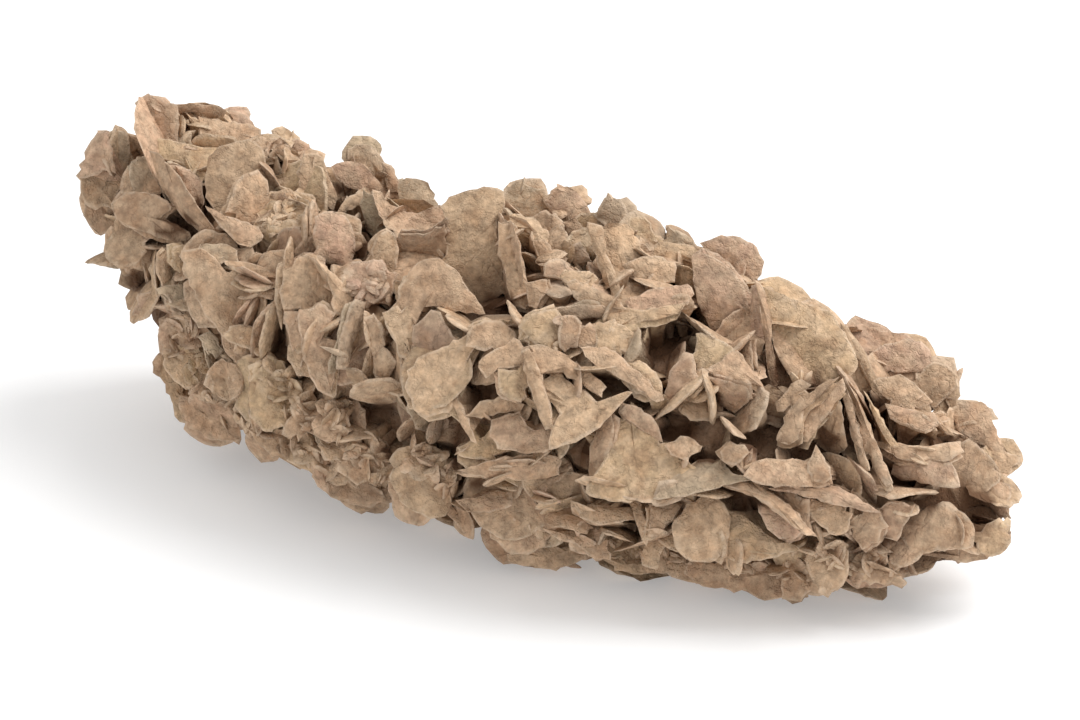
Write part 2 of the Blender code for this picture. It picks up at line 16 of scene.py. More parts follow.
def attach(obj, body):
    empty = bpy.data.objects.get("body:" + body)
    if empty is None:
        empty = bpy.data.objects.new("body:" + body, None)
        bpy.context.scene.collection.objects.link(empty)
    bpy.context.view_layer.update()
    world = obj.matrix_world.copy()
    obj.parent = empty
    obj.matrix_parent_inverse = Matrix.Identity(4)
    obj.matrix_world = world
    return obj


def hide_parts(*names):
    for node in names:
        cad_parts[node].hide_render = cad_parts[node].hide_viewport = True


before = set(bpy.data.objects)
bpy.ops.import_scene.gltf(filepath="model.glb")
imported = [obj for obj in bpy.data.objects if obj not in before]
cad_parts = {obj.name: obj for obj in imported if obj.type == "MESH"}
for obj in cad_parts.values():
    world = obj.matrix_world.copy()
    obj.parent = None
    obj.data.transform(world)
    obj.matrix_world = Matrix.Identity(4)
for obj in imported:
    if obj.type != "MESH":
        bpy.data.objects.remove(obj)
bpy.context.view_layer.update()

# --- Outer form and show window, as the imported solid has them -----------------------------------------
# Outer form along X: x, middle y, half width, underside z, top z.
OUTER_FORM = np.array([
    (-0.300, 0.008, 0.020, 0.098, 0.130),
    (-0.280, 0.004, 0.048, 0.062, 0.160),
    (-0.245, 0.000, 0.074, 0.022, 0.180),
    (-0.190, 0.000, 0.090, 0.008, 0.180),
    (-0.110, -0.010, 0.106, 0.004, 0.168),
    (-0.020, -0.013, 0.110, 0.004, 0.170),
    (0.070, -0.008, 0.106, 0.004, 0.168),
    (0.150, 0.002, 0.090, 0.005, 0.142),
    (0.215, 0.008, 0.068, 0.008, 0.110),
    (0.250, 0.014, 0.046, 0.014, 0.086),
    (0.274, 0.018, 0.020, 0.030, 0.062),
])
END_FALLOFF = 0.02
FORM_POWER = 0.85
FOOTPRINT_SHIFT = (0.0185, 0.0108)

SHOW_AZIMUTH = 33.0
SHOW_ELEVATION = 23.0
SHOW_DISTANCE = 2.0
SHOW_AIM = np.array((0.0, 0.0, 0.088))
WINDOW_CENTRE = (540.0, 360.0)
WINDOW_WIDTH = 1080.0
WINDOW_HEIGHT = 720
WINDOW_DEPTH = 3546.0      # pixels from the camera to the picture
SIGHT_REACH = 0.42         # of the lines of sight, before and behind the middle of the rose
SIGHT_STEPS = np.arange(SHOW_DISTANCE - SIGHT_REACH, SHOW_DISTANCE + SIGHT_REACH, 0.002)
SIGHT_SKIP = 3             # each third step is enough for a map
COVER_LEVEL = 0.90
BAY = (143, 336, 20, 25)   # a bay in the outline that stays open: across, down, half across, half down

# --- Blades -------------------------------------------------------------------------------------------
BLADE_BASE_THICKNESS = 0.0030
BLADE_THICKNESS_RATIO = 0.13
BLADE_ROUNDNESS = 0.90
SINK_RATIO = 0.45
BASE_SINK = 0.003
LIFT_SCALE = 0.0007
EDGE_SHARE = 0.6           # of the thickness, which shows beside a blade seen at an angle
THINNEST_SHARE = 0.04      # least width of a blade in the window, as a share of its length

# Each row: across, down, half length, half width (pixels), lean, lift (mm), roughness 0 to 1, tone.
# Tones: n sand, y yellowish, p pinkish, g grey-green, d darker brown. On the show blades and listed faces, d
# mostly goes to faces turned away from the light: painted shade.
SHOW_BLADES = [
    # left_end
    (103, 160, 33, 22, 200, 0, 0.9, "p"),
    (118, 152, 26, 11, 0, 4, 0.4, "n"),
    (100, 208, 26, 17, 215, 0, 0.9, "n"),
    (148, 182, 26, 20, 120, 2, 0.2, "n"),
    (178, 163, 78, 30, 26, 4, 0.35, "n"),
    (205, 197, 62, 22, 35, 6, 0.35, "n"),
    (195, 185, 26, 12, 200, -6, 0.3, "p"),
    (222, 190, 50, 22, 20, 6, 0.25, "n"),
    (245, 205, 36, 20, -10, 2, 0.5, "n"),
    (160, 118, 30, 26, 60, -4, 0.7, "n"),
    (200, 112, 30, 10, 270, -4, 0.6, "d"),
    (200, 130, 22, 8, 215, 0, 0.6, "d"),
    (235, 118, 16, 10, 90, -4, 0.4, "p"),
    (190, 152, 28, 10, 90, 2, 0.4, "y"),
    (222, 130, 22, 14, 60, -2, 0.5, "n"),
    (243, 150, 30, 24, 60, 0, 0.9, "n"),
    (140, 215, 34, 26, 160, 0, 0.15, "d"),
    (128, 250, 24, 18, 200, 2, 0.9, "n"),
    (112, 258, 22, 9, 100, 4, 0.5, "n"),
    (135, 280, 14, 10, 200, -4, 0.6, "d"),
    (150, 300, 26, 12, 150, 4, 0.4, "y"),
    (163, 270, 32, 7, 180, 2, 0.4, "n"),
    (172, 265, 30, 6, 180, 4, 0.4, "n"),
    (155, 275, 30, 6, 180, 0, 0.4, "n"),
    (165, 228, 24, 12, 100, 0, 0.5, "n"),
    (224, 284, 50, 38, 150, 6, 0.3, "n"),
    (245, 268, 26, 6, 90, 8, 0.5, "n"),
    (250, 280, 30, 7, 80, 8, 0.5, "n"),
    (238, 312, 28, 3, 130, 8, 0.4, "n"),
    (190, 312, 30, 8, 250, -2, 0.8, "d"),
    # lower_left
    (180, 338, 24, 18, 190, 0, 0.9, "d"),
    (175, 365, 18, 8, 120, 4, 0.8, "n"),
    (198, 362, 20, 8, 60, 4, 0.8, "n"),
    (186, 388, 20, 7, 100, 4, 0.8, "n"),
    (228, 378, 22, 20, 200, 4, 0.9, "n"),
    (270, 392, 42, 30, 200, 4, 0.25, "y"),
    (215, 415, 30, 24, 230, 0, 0.9, "n"),
    (178, 395, 18, 6, 190, 4, 0.6, "n"),
    (185, 412, 14, 6, 200, 4, 0.6, "n"),
    (265, 445, 20, 14, 230, -4, 0.8, "d"),
    (235, 345, 24, 9, 80, 0, 0.6, "n"),
    # crest_left
    (285, 140, 14, 12, 60, 0, 0.8, "y"),
    (300, 148, 12, 14, 40, 0, 0.4, "p"),
    (270, 152, 22, 16, 90, 0, 0.9, "n"),
    (292, 160, 20, 9, 70, 2, 0.9, "n"),
    (312, 156, 14, 8, 80, 0, 0.6, "n"),
    (300, 178, 26, 16, 150, 2, 0.4, "n"),
    (325, 190, 28, 7, 30, 4, 0.4, "n"),
    (345, 172, 28, 14, 100, 0, 0.4, "n"),
    (363, 156, 20, 16, 95, -4, 0.5, "g"),
    (368, 176, 26, 16, 60, 0, 0.5, "n"),
    (385, 178, 26, 10, 30, 2, 0.4, "n"),
    (350, 200, 18, 9, 110, 0, 0.6, "n"),
    (413, 193, 20, 20, 60, -6, 0.4, "g"),
    (395, 215, 42, 20, 60, 2, 0.3, "n"),
    (285, 217, 34, 24, 100, 2, 0.8, "y"),
    (338, 238, 28, 24, 100, 2, 0.25, "n"),
    (306, 232, 22, 5, 0, 6, 0.4, "n"),
    (314, 225, 24, 5, 0, 4, 0.4, "n"),
    # left_middle
    (280, 285, 42, 4, 180, 6, 0.4, "n"),
    (288, 262, 22, 7, 0, 2, 0.5, "n"),
    (302, 285, 30, 22, 130, 4, 0.3, "n"),
    (332, 288, 38, 14, 215, 6, 0.4, "n"),
    (317, 315, 18, 14, 100, 2, 0.5, "n"),
    (325, 352, 52, 27, 185, 8, 0.2, "n"),
    (332, 326, 18, 3, 120, 8, 0.4, "n"),
    (346, 335, 36, 9, 10, 8, 0.4, "g"),
    (348, 270, 14, 6, 120, 2, 0.5, "n"),
    (372, 285, 26, 18, 100, 2, 0.8, "p"),
    (385, 248, 24, 14, 190, 2, 0.25, "n"),
    (396, 278, 22, 6, 150, 4, 0.5, "n"),
    (420, 245, 28, 12, 250, -4, 0.5, "d"),
    (438, 298, 46, 38, 110, 6, 0.25, "n"),
    (372, 335, 22, 8, 20, 4, 0.5, "n"),
    (390, 335, 28, 14, 60, 4, 0.4, "n"),
    (408, 330, 26, 10, 30, 6, 0.4, "n"),
    (432, 335, 30, 24, 100, 6, 0.2, "p"),
    (268, 322, 22, 10, 160, 2, 0.5, "g"),
    (290, 325, 22, 7, 180, 2, 0.4, "n"),
    # lower_middle_left
    (300, 392, 24, 12, 130, 2, 0.5, "n"),
    (438, 380, 40, 33, 130, 8, 0.15, "n"),
    (378, 388, 26, 14, 270, 2, 0.4, "d"),
    (350, 372, 32, 5, 90, 6, 0.4, "n"),
    (385, 362, 16, 14, 200, 4, 0.4, "n"),
    (398, 365, 24, 10, 180, 6, 0.4, "n"),
    (392, 412, 22, 4, 120, 6, 0.4, "n"),
    (350, 430, 34, 14, 95, 2, 0.5, "n"),
    (334, 450, 22, 10, 100, 2, 0.6, "n"),
    (365, 450, 24, 10, 100, 4, 0.6, "n"),
    (350, 470, 36, 12, 90, 2, 0.6, "n"),
    (325, 410, 22, 12, 100, 0, 0.6, "n"),
    (300, 430, 20, 10, 130, 0, 0.7, "n"),
    (420, 485, 36, 28, 190, 6, 0.2, "n"),
    (440, 480, 22, 12, 170, 8, 0.4, "n"),
    (445, 505, 26, 4, 50, 8, 0.4, "n"),
    (365, 492, 26, 14, 250, -2, 0.8, "d"),
    (450, 470, 34, 4, 0, 8, 0.4, "n"),
    (466, 522, 18, 10, 200, 4, 0.6, "n"),
    (478, 503, 34, 10, 90, 6, 0.4, "n"),
    (515, 535, 32, 26, 225, 2, 0.9, "d"),
    # crest_middle
    (475, 205, 36, 20, 90, -6, 0.4, "n"),
    (473, 245, 54, 30, 200, 6, 0.25, "n"),
    (525, 198, 22, 18, 80, -6, 0.5, "g"),
    (567, 204, 24, 18, 80, -6, 0.5, "n"),
    (510, 260, 48, 14, 185, 8, 0.7, "n"),
    (537, 225, 26, 12, 60, 0, 0.8, "g"),
    (545, 262, 26, 14, 200, 4, 0.3, "p"),
    (545, 290, 20, 6, 80, 6, 0.5, "n"),
    (575, 225, 18, 12, 100, 2, 0.5, "n"),
    (575, 250, 16, 14, 200, 2, 0.4, "g"),
    (605, 255, 46, 10, 180, 6, 0.4, "n"),
    (590, 285, 34, 14, 95, 4, 0.3, "n"),
    (560, 292, 14, 8, 90, 0, 0.5, "g"),
    # middle
    (518, 318, 18, 5, 40, 6, 0.4, "n"),
    (545, 335, 26, 24, 90, 4, 0.9, "y"),
    (572, 335, 20, 16, 0, 4, 0.3, "n"),
    (490, 332, 30, 14, 100, 4, 0.5, "n"),
    (455, 316, 24, 5, 60, 6, 0.4, "n"),
    (462, 326, 18, 5, 60, 6, 0.4, "n"),
    (492, 365, 24, 16, 160, 4, 0.4, "n"),
    (510, 382, 26, 14, 190, 6, 0.4, "n"),
    (533, 370, 34, 7, 20, 8, 0.4, "n"),
    (540, 400, 40, 5, 20, 8, 0.4, "n"),
    (545, 405, 38, 5, 200, 8, 0.4, "n"),
    (565, 365, 44, 16, 70, 4, 0.8, "n"),
    (572, 405, 40, 26, 80, 6, 0.2, "y"),
    (462, 410, 38, 4, 40, 10, 0.4, "n"),
    (495, 408, 30, 10, 100, 2, 0.5, "n"),
    (588, 338, 14, 14, 90, 6, 0.3, "n"),
    (628, 364, 48, 14, 58, 6, 0.7, "y"),
    # lower_middle
    (560, 425, 72, 28, 90, 8, 0.3, "n"),
    (525, 466, 40, 14, 270, 2, 0.5, "d"),
    (475, 450, 18, 10, 100, 2, 0.4, "n"),
    (485, 472, 28, 5, 90, 4, 0.5, "n"),
    (515, 490, 18, 8, 100, 2, 0.7, "n"),
    (505, 498, 18, 6, 60, 4, 0.7, "n"),
    (565, 512, 26, 4, 85, 6, 0.4, "n"),
    (562, 524, 34, 8, 80, 6, 0.4, "n"),
    (572, 538, 26, 6, 85, 6, 0.4, "n"),
    (608, 508, 34, 10, 80, 4, 0.4, "n"),
    (550, 558, 28, 12, 260, 0, 0.5, "p"),
    (590, 545, 22, 14, 250, 0, 0.9, "n"),
    (604, 450, 30, 13, 180, 8, 0.4, "n"),
    (648, 478, 44, 26, 90, 6, 0.6, "n"),
    (690, 450, 28, 14, 90, 6, 0.5, "n"),
    (695, 482, 42, 14, 85, 6, 0.3, "y"),
    (632, 425, 34, 14, 240, 4, 0.4, "p"),
    (640, 430, 28, 5, 60, 8, 0.4, "n"),
    (660, 512, 24, 16, 90, 0, 0.5, "n"),
    (638, 517, 20, 4, 27, 4, 0.4, "n"),
    (652, 540, 34, 5, 145, 8, 0.4, "n"),
    (664, 545, 26, 5, 145, 6, 0.4, "n"),
    (620, 552, 26, 20, 230, 0, 0.9, "n"),
    (622, 535, 22, 6, 70, 2, 0.7, "n"),
    (697, 528, 38, 28, 110, 6, 0.3, "y"),
    (733, 545, 22, 8, 170, 6, 0.4, "p"),
    # crest_right
    (614, 214, 22, 18, 80, -8, 0.5, "g"),
    (641, 236, 24, 18, 60, -6, 0.5, "g"),
    (682, 238, 18, 6, 50, -6, 0.5, "d"),
    (732, 266, 36, 30, 80, -4, 0.4, "n"),
    (720, 292, 46, 28, 200, 4, 0.25, "n"),
    (650, 258, 40, 8, 85, 0, 0.4, "n"),
    (642, 275, 34, 12, 95, 2, 0.5, "d"),
    (660, 285, 30, 6, 75, 6, 0.5, "n"),
    (652, 302, 46, 16, 82, 6, 0.4, "n"),
    (757, 322, 44, 6, 180, 8, 0.4, "n"),
    (766, 335, 46, 6, 0, 8, 0.4, "n"),
    (780, 300, 26, 20, 70, -2, 0.5, "y"),
    (812, 350, 50, 38, 45, 2, 0.2, "n"),
    (815, 376, 44, 34, 70, 6, 0.3, "n"),
    (850, 348, 46, 5, 32, 8, 0.3, "n"),
    (868, 346, 30, 22, 60, -4, 0.4, "p"),
    (905, 352, 28, 20, 60, -4, 0.4, "n"),
    (935, 385, 30, 25, 60, -2, 0.3, "g"),
    (947, 392, 22, 4, 144, 2, 0.4, "n"),
    (903, 399, 34, 22, 95, 2, 0.4, "n"),
    # right_middle
    (708, 333, 34, 5, 57, 8, 0.3, "n"),
    (710, 350, 24, 18, 150, 6, 0.2, "n"),
    (735, 348, 22, 4, 130, 8, 0.4, "n"),
    (735, 368, 34, 12, 80, 6, 0.3, "n"),
    (678, 372, 26, 12, 160, 4, 0.4, "p"),
    (680, 396, 34, 6, 132, 10, 0.3, "n"),
    (690, 402, 24, 18, 270, 2, 0.4, "d"),
    (712, 398, 26, 5, 10, 8, 0.4, "y"),
    (740, 398, 24, 14, 250, -4, 0.4, "d"),
    (752, 412, 26, 16, 150, 0, 0.4, "g"),
    (733, 430, 16, 4, 50, 6, 0.4, "n"),
    (745, 460, 18, 14, 20, 2, 0.4, "p"),
    (800, 412, 44, 14, 140, 6, 0.3, "n"),
    (826, 410, 40, 12, 147, 8, 0.3, "n"),
    (848, 430, 50, 7, 185, 8, 0.3, "n"),
    (863, 432, 52, 8, 201, 10, 0.3, "n"),
    (884, 425, 34, 5, 215, 8, 0.3, "n"),
    (937, 423, 28, 4, 60, 6, 0.4, "n"),
    (915, 420, 30, 10, 80, 0, 0.6, "n"),
    (922, 466, 46, 18, 85, 8, 0.4, "n"),
    (862, 475, 26, 8, 215, 2, 0.4, "d"),
    # lower_right
    (768, 500, 40, 6, 55, 8, 0.3, "n"),
    (742, 512, 24, 6, 55, 6, 0.3, "n"),
    (785, 478, 42, 18, 85, 4, 0.4, "n"),
    (830, 497, 52, 14, 92, 8, 0.3, "n"),
    (818, 468, 24, 12, 160, 4, 0.5, "n"),
    (770, 545, 36, 14, 90, 4, 0.4, "y"),
    (755, 525, 30, 10, 100, 2, 0.5, "n"),
    (795, 525, 20, 14, 150, 2, 0.3, "p"),
    (830, 520, 28, 16, 100, 2, 0.9, "n"),
    (865, 527, 26, 14, 110, 0, 0.3, "d"),
    (895, 512, 22, 14, 120, -4, 0.4, "d"),
    (900, 490, 32, 6, 85, 4, 0.6, "n"),
    (937, 530, 36, 27, 100, 6, 0.2, "d"),
    (991, 540, 19, 18, 140, 4, 0.6, "y"),
    (820, 565, 30, 24, 200, 2, 0.9, "n"),
    (790, 580, 24, 16, 220, 0, 0.9, "d"),
    (740, 570, 30, 14, 250, 0, 0.9, "d"),
    (700, 572, 30, 10, 260, 0, 0.8, "d"),
    (875, 552, 18, 16, 200, 2, 0.8, "n"),
    (905, 553, 20, 16, 120, 2, 0.4, "p"),
    (880, 570, 26, 10, 250, 0, 0.6, "n"),
    (955, 552, 20, 10, 250, 0, 0.5, "n"),
    # right_end
    (968, 415, 26, 14, 80, -4, 0.5, "g"),
    (990, 430, 26, 10, 10, 0, 0.5, "p"),
    (1000, 458, 21, 18, 60, 0, 0.5, "n"),
    (960, 430, 22, 8, 70, 2, 0.5, "n"),
    (975, 450, 24, 7, 80, 4, 0.5, "d"),
    (984, 486, 34, 20, 55, 4, 0.4, "y"),
    (1002, 500, 20, 10, 20, 2, 0.4, "n"),
    (965, 475, 26, 14, 100, 2, 0.5, "y"),
]

# Places kept clear of filling blades, where the photograph shows deep dark gaps:
# across, down, half across, half down (pixels).
# Shade is also painted on the surfaces seen in these gaps, behind the outer form.
DEEP_GAPS = [
    (192, 207, 9, 18), (167, 228, 18, 8), (136, 281, 8, 10), (150, 315, 16, 6), (343, 187, 9, 9),
    (359, 239, 9, 22), (397, 205, 6, 5), (275, 338, 8, 13), (326, 295, 7, 6), (372, 308, 8, 7),
    (290, 390, 10, 11), (381, 411, 14, 9), (386, 457, 8, 9), (457, 445, 6, 30), (478, 481, 9, 6),
    (455, 492, 6, 6), (527, 255, 9, 20), (560, 236, 11, 14), (499, 304, 17, 9), (478, 392, 17, 18),
    (603, 377, 9, 13), (582, 452, 9, 13), (477, 430, 8, 10), (681, 273, 7, 12), (697, 302, 9, 18),
    (749, 297, 4, 13), (665, 268, 6, 6), (620, 324, 6, 7), (660, 343, 24, 19), (693, 366, 6, 9),
    (641, 395, 17, 10), (679, 431, 22, 9), (718, 401, 5, 12), (753, 442, 12, 12), (704, 459, 15, 6),
    (732, 492, 18, 8), (752, 503, 13, 9), (617, 507, 13, 5), (652, 540, 14, 18), (680, 567, 20, 6),
    (780, 372, 6, 13), (816, 383, 5, 6), (830, 425, 14, 24), (873, 420, 12, 20), (800, 452, 6, 8),
    (901, 366, 7, 7), (941, 408, 7, 7), (940, 440, 15, 10), (907, 435, 13, 5), (897, 483, 13, 4),
    (958, 502, 35, 16), (801, 512, 7, 12), (890, 537, 10, 5), (977, 423, 5, 14), (980, 462, 15, 5),
]
SEE_THROUGH = (986, 514, 14, 9)   # the floor shows through the rose here
SEE_THROUGH_CORNERS = (977, 513, 985, 510, 992, 510, 997, 514, 991, 518, 982, 518)

# Faces of the show side whose outlines matter: tone, roughness, slope to the right, slope up, lift in
# millimetres, then the corners of the outline as across, down pairs.
# Tone d on these faces mostly marks faces turned away from the light, so there it is painted shade.
FACETS = [
    # Left end
    ("p", 0.4, -0.30, 0.00, 6, (137, 103, 147, 95, 158, 97, 168, 103, 178, 105, 176, 140, 162, 153, 150,
        152, 143, 140, 138, 124)),
    ("d", 0.3, -0.20, -0.60, 2, (168, 104, 190, 103, 215, 105, 225, 110, 222, 120, 202, 118, 186, 112,
        176, 111)),
    ("p", 0.5, 0.30, 0.30, 3, (223, 111, 233, 110, 246, 114, 251, 121, 240, 127, 226, 123)),
    ("n", 0.5, 0.10, 0.50, 0, (197, 118, 222, 121, 250, 123, 262, 130, 262, 139, 240, 141, 225, 147, 211,
        149, 203, 140)),
    ("n", 0.2, 0.90, 0.10, 2, (184, 112, 196, 117, 211, 138, 205, 147, 196, 131)),
    ("y", 0.4, 0.15, 0.70, 3, (150, 142, 162, 140, 180, 144, 200, 149, 212, 151, 207, 162, 203, 181, 190,
        169, 176, 161, 162, 157, 152, 151)),
    ("d", 0.3, -1.10, -0.35, 4, (150, 151, 159, 153, 172, 167, 184, 182, 197, 204, 210, 222, 222, 243,
        206, 236, 188, 222, 172, 204, 160, 186)),
    ("p", 0.3, -0.20, 0.20, 0, (175, 166, 190, 170, 203, 181, 205, 206, 195, 200, 184, 184)),
    ("n", 0.3, -0.05, 0.15, 5, (208, 156, 215, 148, 232, 142, 248, 140, 262, 147, 266, 162, 257, 172, 242,
        177, 236, 186, 232, 200, 225, 212, 213, 209, 206, 197, 206, 176)),
    ("n", 0.3, 0.45, -0.05, 3, (236, 185, 243, 177, 257, 172, 267, 181, 269, 200, 263, 211, 256, 223, 247,
        223, 236, 215, 226, 212, 231, 200)),
    ("n", 0.3, -0.10, 0.40, 2, (205, 206, 222, 216, 247, 222, 257, 226, 264, 236, 252, 248, 238, 246, 225,
        232)),
    ("p", 0.6, -0.40, 0.10, 2, (80, 178, 84, 158, 92, 141, 99, 132, 109, 131, 111, 150, 115, 172, 103,
        170, 93, 177)),
    ("g", 0.4, 0.35, 0.10, 4, (110, 133, 119, 130, 128, 135, 131, 150, 127, 168, 121, 180, 114, 168, 111,
        148)),
    ("n", 0.5, 0.10, -0.20, 0, (129, 135, 139, 139, 145, 149, 140, 153, 131, 150)),
    ("g", 0.4, -0.10, 0.30, 4, (129, 178, 131, 163, 139, 157, 150, 158, 157, 168, 163, 182, 158, 191, 146,
        193, 134, 190)),
    ("n", 0.9, -0.20, 0.40, 3, (80, 178, 92, 176, 104, 172, 118, 178, 124, 186, 116, 198, 106, 207, 95,
        208, 84, 200)),
    ("d", 0.3, -0.35, -0.10, 3, (111, 204, 124, 194, 145, 193, 162, 197, 173, 207, 160, 219, 183, 226,
        191, 238, 176, 241, 161, 240, 146, 234, 130, 226, 117, 217)),
    ("n", 0.5, -0.30, 0.30, 4, (116, 218, 130, 226, 144, 234, 145, 250, 139, 262, 122, 268, 109, 261, 105,
        247, 111, 234)),
    ("g", 0.4, -0.30, 0.60, 2, (94, 260, 107, 250, 120, 261, 118, 268, 104, 265)),
    ("n", 0.6, -0.20, 0.10, 2, (84, 201, 99, 206, 110, 208, 117, 218, 113, 232, 101, 236, 90, 229, 85,
        215)),
    ("n", 0.5, 0.50, 0.10, 2, (155, 252, 162, 246, 168, 250, 172, 276, 163, 286, 157, 272)),
    ("y", 0.5, 0.50, 0.20, 1, (172, 246, 186, 243, 187, 262, 181, 273, 173, 264)),
    ("p", 0.4, -0.30, -0.20, 4, (131, 315, 138, 304, 139, 294, 150, 292, 162, 302, 160, 308, 148, 310,
        141, 316)),
    ("g", 0.5, 0.10, 0.80, 2, (156, 290, 180, 284, 202, 296, 186, 301, 168, 300)),
    ("g", 0.5, 0.10, 0.80, 2, (164, 303, 186, 300, 204, 301, 213, 312, 190, 312)),
    ("d", 0.5, 0.10, 0.70, 2, (172, 316, 205, 313, 214, 325, 190, 322)),
    ("n", 0.35, -0.15, 0.15, 8, (182, 252, 199, 247, 219, 262, 224, 271, 242, 274, 250, 288, 245, 303,
        233, 322, 222, 336, 211, 318, 199, 302, 191, 285, 184, 268)),
    ("g", 0.4, -0.10, 0.60, 5, (200, 244, 222, 243, 238, 250, 237, 260, 220, 263, 206, 253)),
    ("n", 0.3, 0.00, 0.90, 5, (222, 262, 246, 261, 264, 268, 277, 277, 262, 279, 241, 273)),
    ("n", 0.3, 0.10, 0.80, 5, (244, 279, 262, 283, 276, 291, 272, 298, 256, 296, 247, 290)),
    ("n", 0.3, 0.90, 0.00, 6, (277, 264, 282, 262, 284, 285, 281, 310, 279, 330, 276, 300)),
    ("p", 0.3, -0.70, -0.30, 0, (240, 310, 251, 299, 253, 320, 245, 329)),
    ("y", 0.4, 0.00, 0.40, 6, (232, 325, 246, 326, 262, 330, 272, 345, 262, 358, 248, 348, 236, 345, 222,
        338)),
    # Left crest
    ("n", 0.5, 0.30, 0.10, 0, (300, 190, 297, 173, 306, 155, 316, 153, 325, 161, 331, 178, 338, 198, 333,
        209, 322, 206, 310, 198)),
    ("p", 0.35, 0.10, 0.10, 3, (330, 167, 348, 160, 362, 162, 373, 171, 384, 189, 376, 193, 362, 191, 350,
        189, 337, 179)),
    ("g", 0.3, 0.20, 0.10, -4, (347, 160, 348, 149, 356, 145, 370, 145, 380, 153, 388, 166, 390, 184, 380,
        176, 365, 163)),
    ("p", 0.4, 0.50, 0.00, -4, (382, 161, 391, 165, 397, 178, 396, 193, 388, 193, 384, 176)),
    ("g", 0.3, -0.05, 0.05, -2, (398, 182, 406, 178, 416, 178, 428, 182, 434, 193, 437, 209, 428, 214,
        412, 213, 402, 207, 398, 196)),
    ("n", 0.3, -0.20, 0.40, 2, (339, 208, 349, 196, 363, 192, 361, 203, 353, 210, 343, 213)),
    ("g", 0.4, -0.30, -0.20, 2, (363, 190, 372, 194, 386, 207, 386, 229, 376, 241, 367, 232, 362, 215,
        360, 205)),
    ("n", 0.5, 0.20, 0.80, 5, (371, 191, 391, 205, 406, 212, 426, 216, 438, 229, 424, 235, 400, 233, 386,
        229, 378, 211)),
    ("d", 0.4, -0.30, -0.80, 2, (400, 233, 425, 235, 446, 222, 445, 256, 425, 258, 405, 263, 398, 248)),
    ("n", 0.3, -0.20, 0.10, 5, (378, 237, 389, 231, 397, 241, 399, 256, 394, 273, 385, 269, 375, 263, 370,
        251)),
    ("p", 0.3, 0.00, 0.10, 5, (316, 216, 325, 212, 345, 214, 352, 225, 356, 245, 353, 258, 346, 267, 330,
        263, 318, 256, 315, 236)),
    ("p", 0.8, -0.10, 0.20, 3, (340, 277, 352, 264, 366, 261, 379, 263, 395, 276, 391, 290, 385, 303, 368,
        303, 355, 293, 346, 287)),
    ("n", 0.5, -0.10, 0.15, 6, (283, 270, 301, 255, 314, 256, 326, 276, 333, 296, 334, 312, 320, 302, 300,
        308, 284, 309, 280, 290)),
    ("n", 0.4, 0.60, 0.10, 5, (315, 257, 330, 270, 345, 285, 362, 307, 348, 319, 335, 313, 333, 296, 326,
        276)),
    ("n", 0.4, -0.10, 0.05, 7, (299, 312, 318, 303, 334, 313, 329, 325, 316, 337, 336, 341, 334, 370, 330,
        397, 318, 389, 308, 371, 301, 346)),
    ("g", 0.4, 0.70, 0.10, 4, (346, 320, 352, 302, 363, 304, 361, 322, 352, 346, 342, 369, 334, 369, 337,
        350)),
    ("n", 0.4, -0.30, 0.10, 5, (366, 317, 376, 314, 381, 330, 384, 345, 375, 357, 366, 341)),
    ("n", 0.5, 0.30, 0.20, 3, (380, 313, 397, 307, 411, 319, 415, 341, 411, 362, 400, 357, 390, 331)),
    ("n", 0.25, -0.10, 0.15, 9, (397, 309, 398, 290, 408, 272, 424, 259, 440, 258, 455, 270, 470, 290,
        485, 313, 466, 313, 441, 307, 425, 308, 415, 323, 407, 313)),
    ("p", 0.25, -0.55, -0.25, 6, (414, 328, 430, 312, 438, 313, 451, 331, 456, 341, 436, 350, 417, 354,
        413, 341)),
    ("n", 0.5, -0.20, 0.10, 4, (284, 312, 297, 313, 300, 345, 293, 348, 286, 330)),
    # Middle crest
    ("n", 0.3, -0.10, 0.10, 8, (440, 208, 449, 196, 470, 189, 490, 187, 503, 191, 505, 203, 498, 218, 497,
        238, 500, 258, 506, 286, 495, 297, 482, 301, 474, 296, 460, 276, 447, 262, 445, 241, 447, 223)),
    ("g", 0.4, -0.25, 0.05, 0, (504, 202, 511, 184, 520, 181, 531, 188, 545, 189, 546, 201, 545, 214, 530,
        219, 510, 214)),
    ("p", 0.4, 0.10, 0.10, 0, (547, 203, 552, 191, 562, 185, 572, 187, 580, 196, 590, 213, 580, 219, 565,
        214, 552, 211)),
    ("g", 0.4, 0.00, 0.10, 0, (596, 214, 602, 203, 610, 197, 620, 199, 627, 209, 629, 219, 615, 223, 600,
        218)),
    ("n", 0.4, -0.10, 0.20, 6, (498, 222, 510, 224, 517, 250, 523, 275, 528, 292, 526, 311, 515, 306, 506,
        286, 500, 255)),
    ("y", 0.5, 0.10, 0.60, 5, (508, 216, 534, 217, 548, 232, 557, 250, 546, 254, 535, 240, 524, 229, 511,
        226)),
    ("n", 0.3, -0.20, 0.40, 4, (534, 241, 545, 241, 552, 254, 564, 252, 560, 259, 545, 262, 538, 257)),
    ("n", 0.3, -0.30, 0.10, 2, (561, 223, 575, 216, 583, 223, 585, 241, 579, 247, 572, 239)),
    ("n", 0.4, -0.20, 0.50, 5, (588, 221, 600, 226, 605, 250, 617, 280, 627, 308, 615, 299, 606, 286, 597,
        262)),
    ("g", 0.4, -0.20, -0.20, 1, (568, 248, 580, 240, 591, 260, 573, 263)),
    ("p", 0.3, 0.00, 0.40, 5, (543, 264, 562, 260, 567, 269, 556, 277, 543, 276)),
    ("y", 0.4, 0.00, 0.60, 4, (557, 276, 564, 269, 590, 270, 594, 276, 582, 290, 568, 284)),
    ("n", 0.35, -0.10, 0.60, 6, (566, 284, 576, 279, 596, 290, 616, 297, 627, 311, 602, 306, 578, 301)),
    ("n", 0.3, -0.10, 0.20, 3, (526, 283, 547, 279, 549, 289, 537, 307, 528, 308)),
    ("y", 0.4, -0.10, 0.25, 6, (520, 338, 524, 321, 538, 313, 555, 309, 561, 318, 559, 340, 545, 346, 530,
        342)),
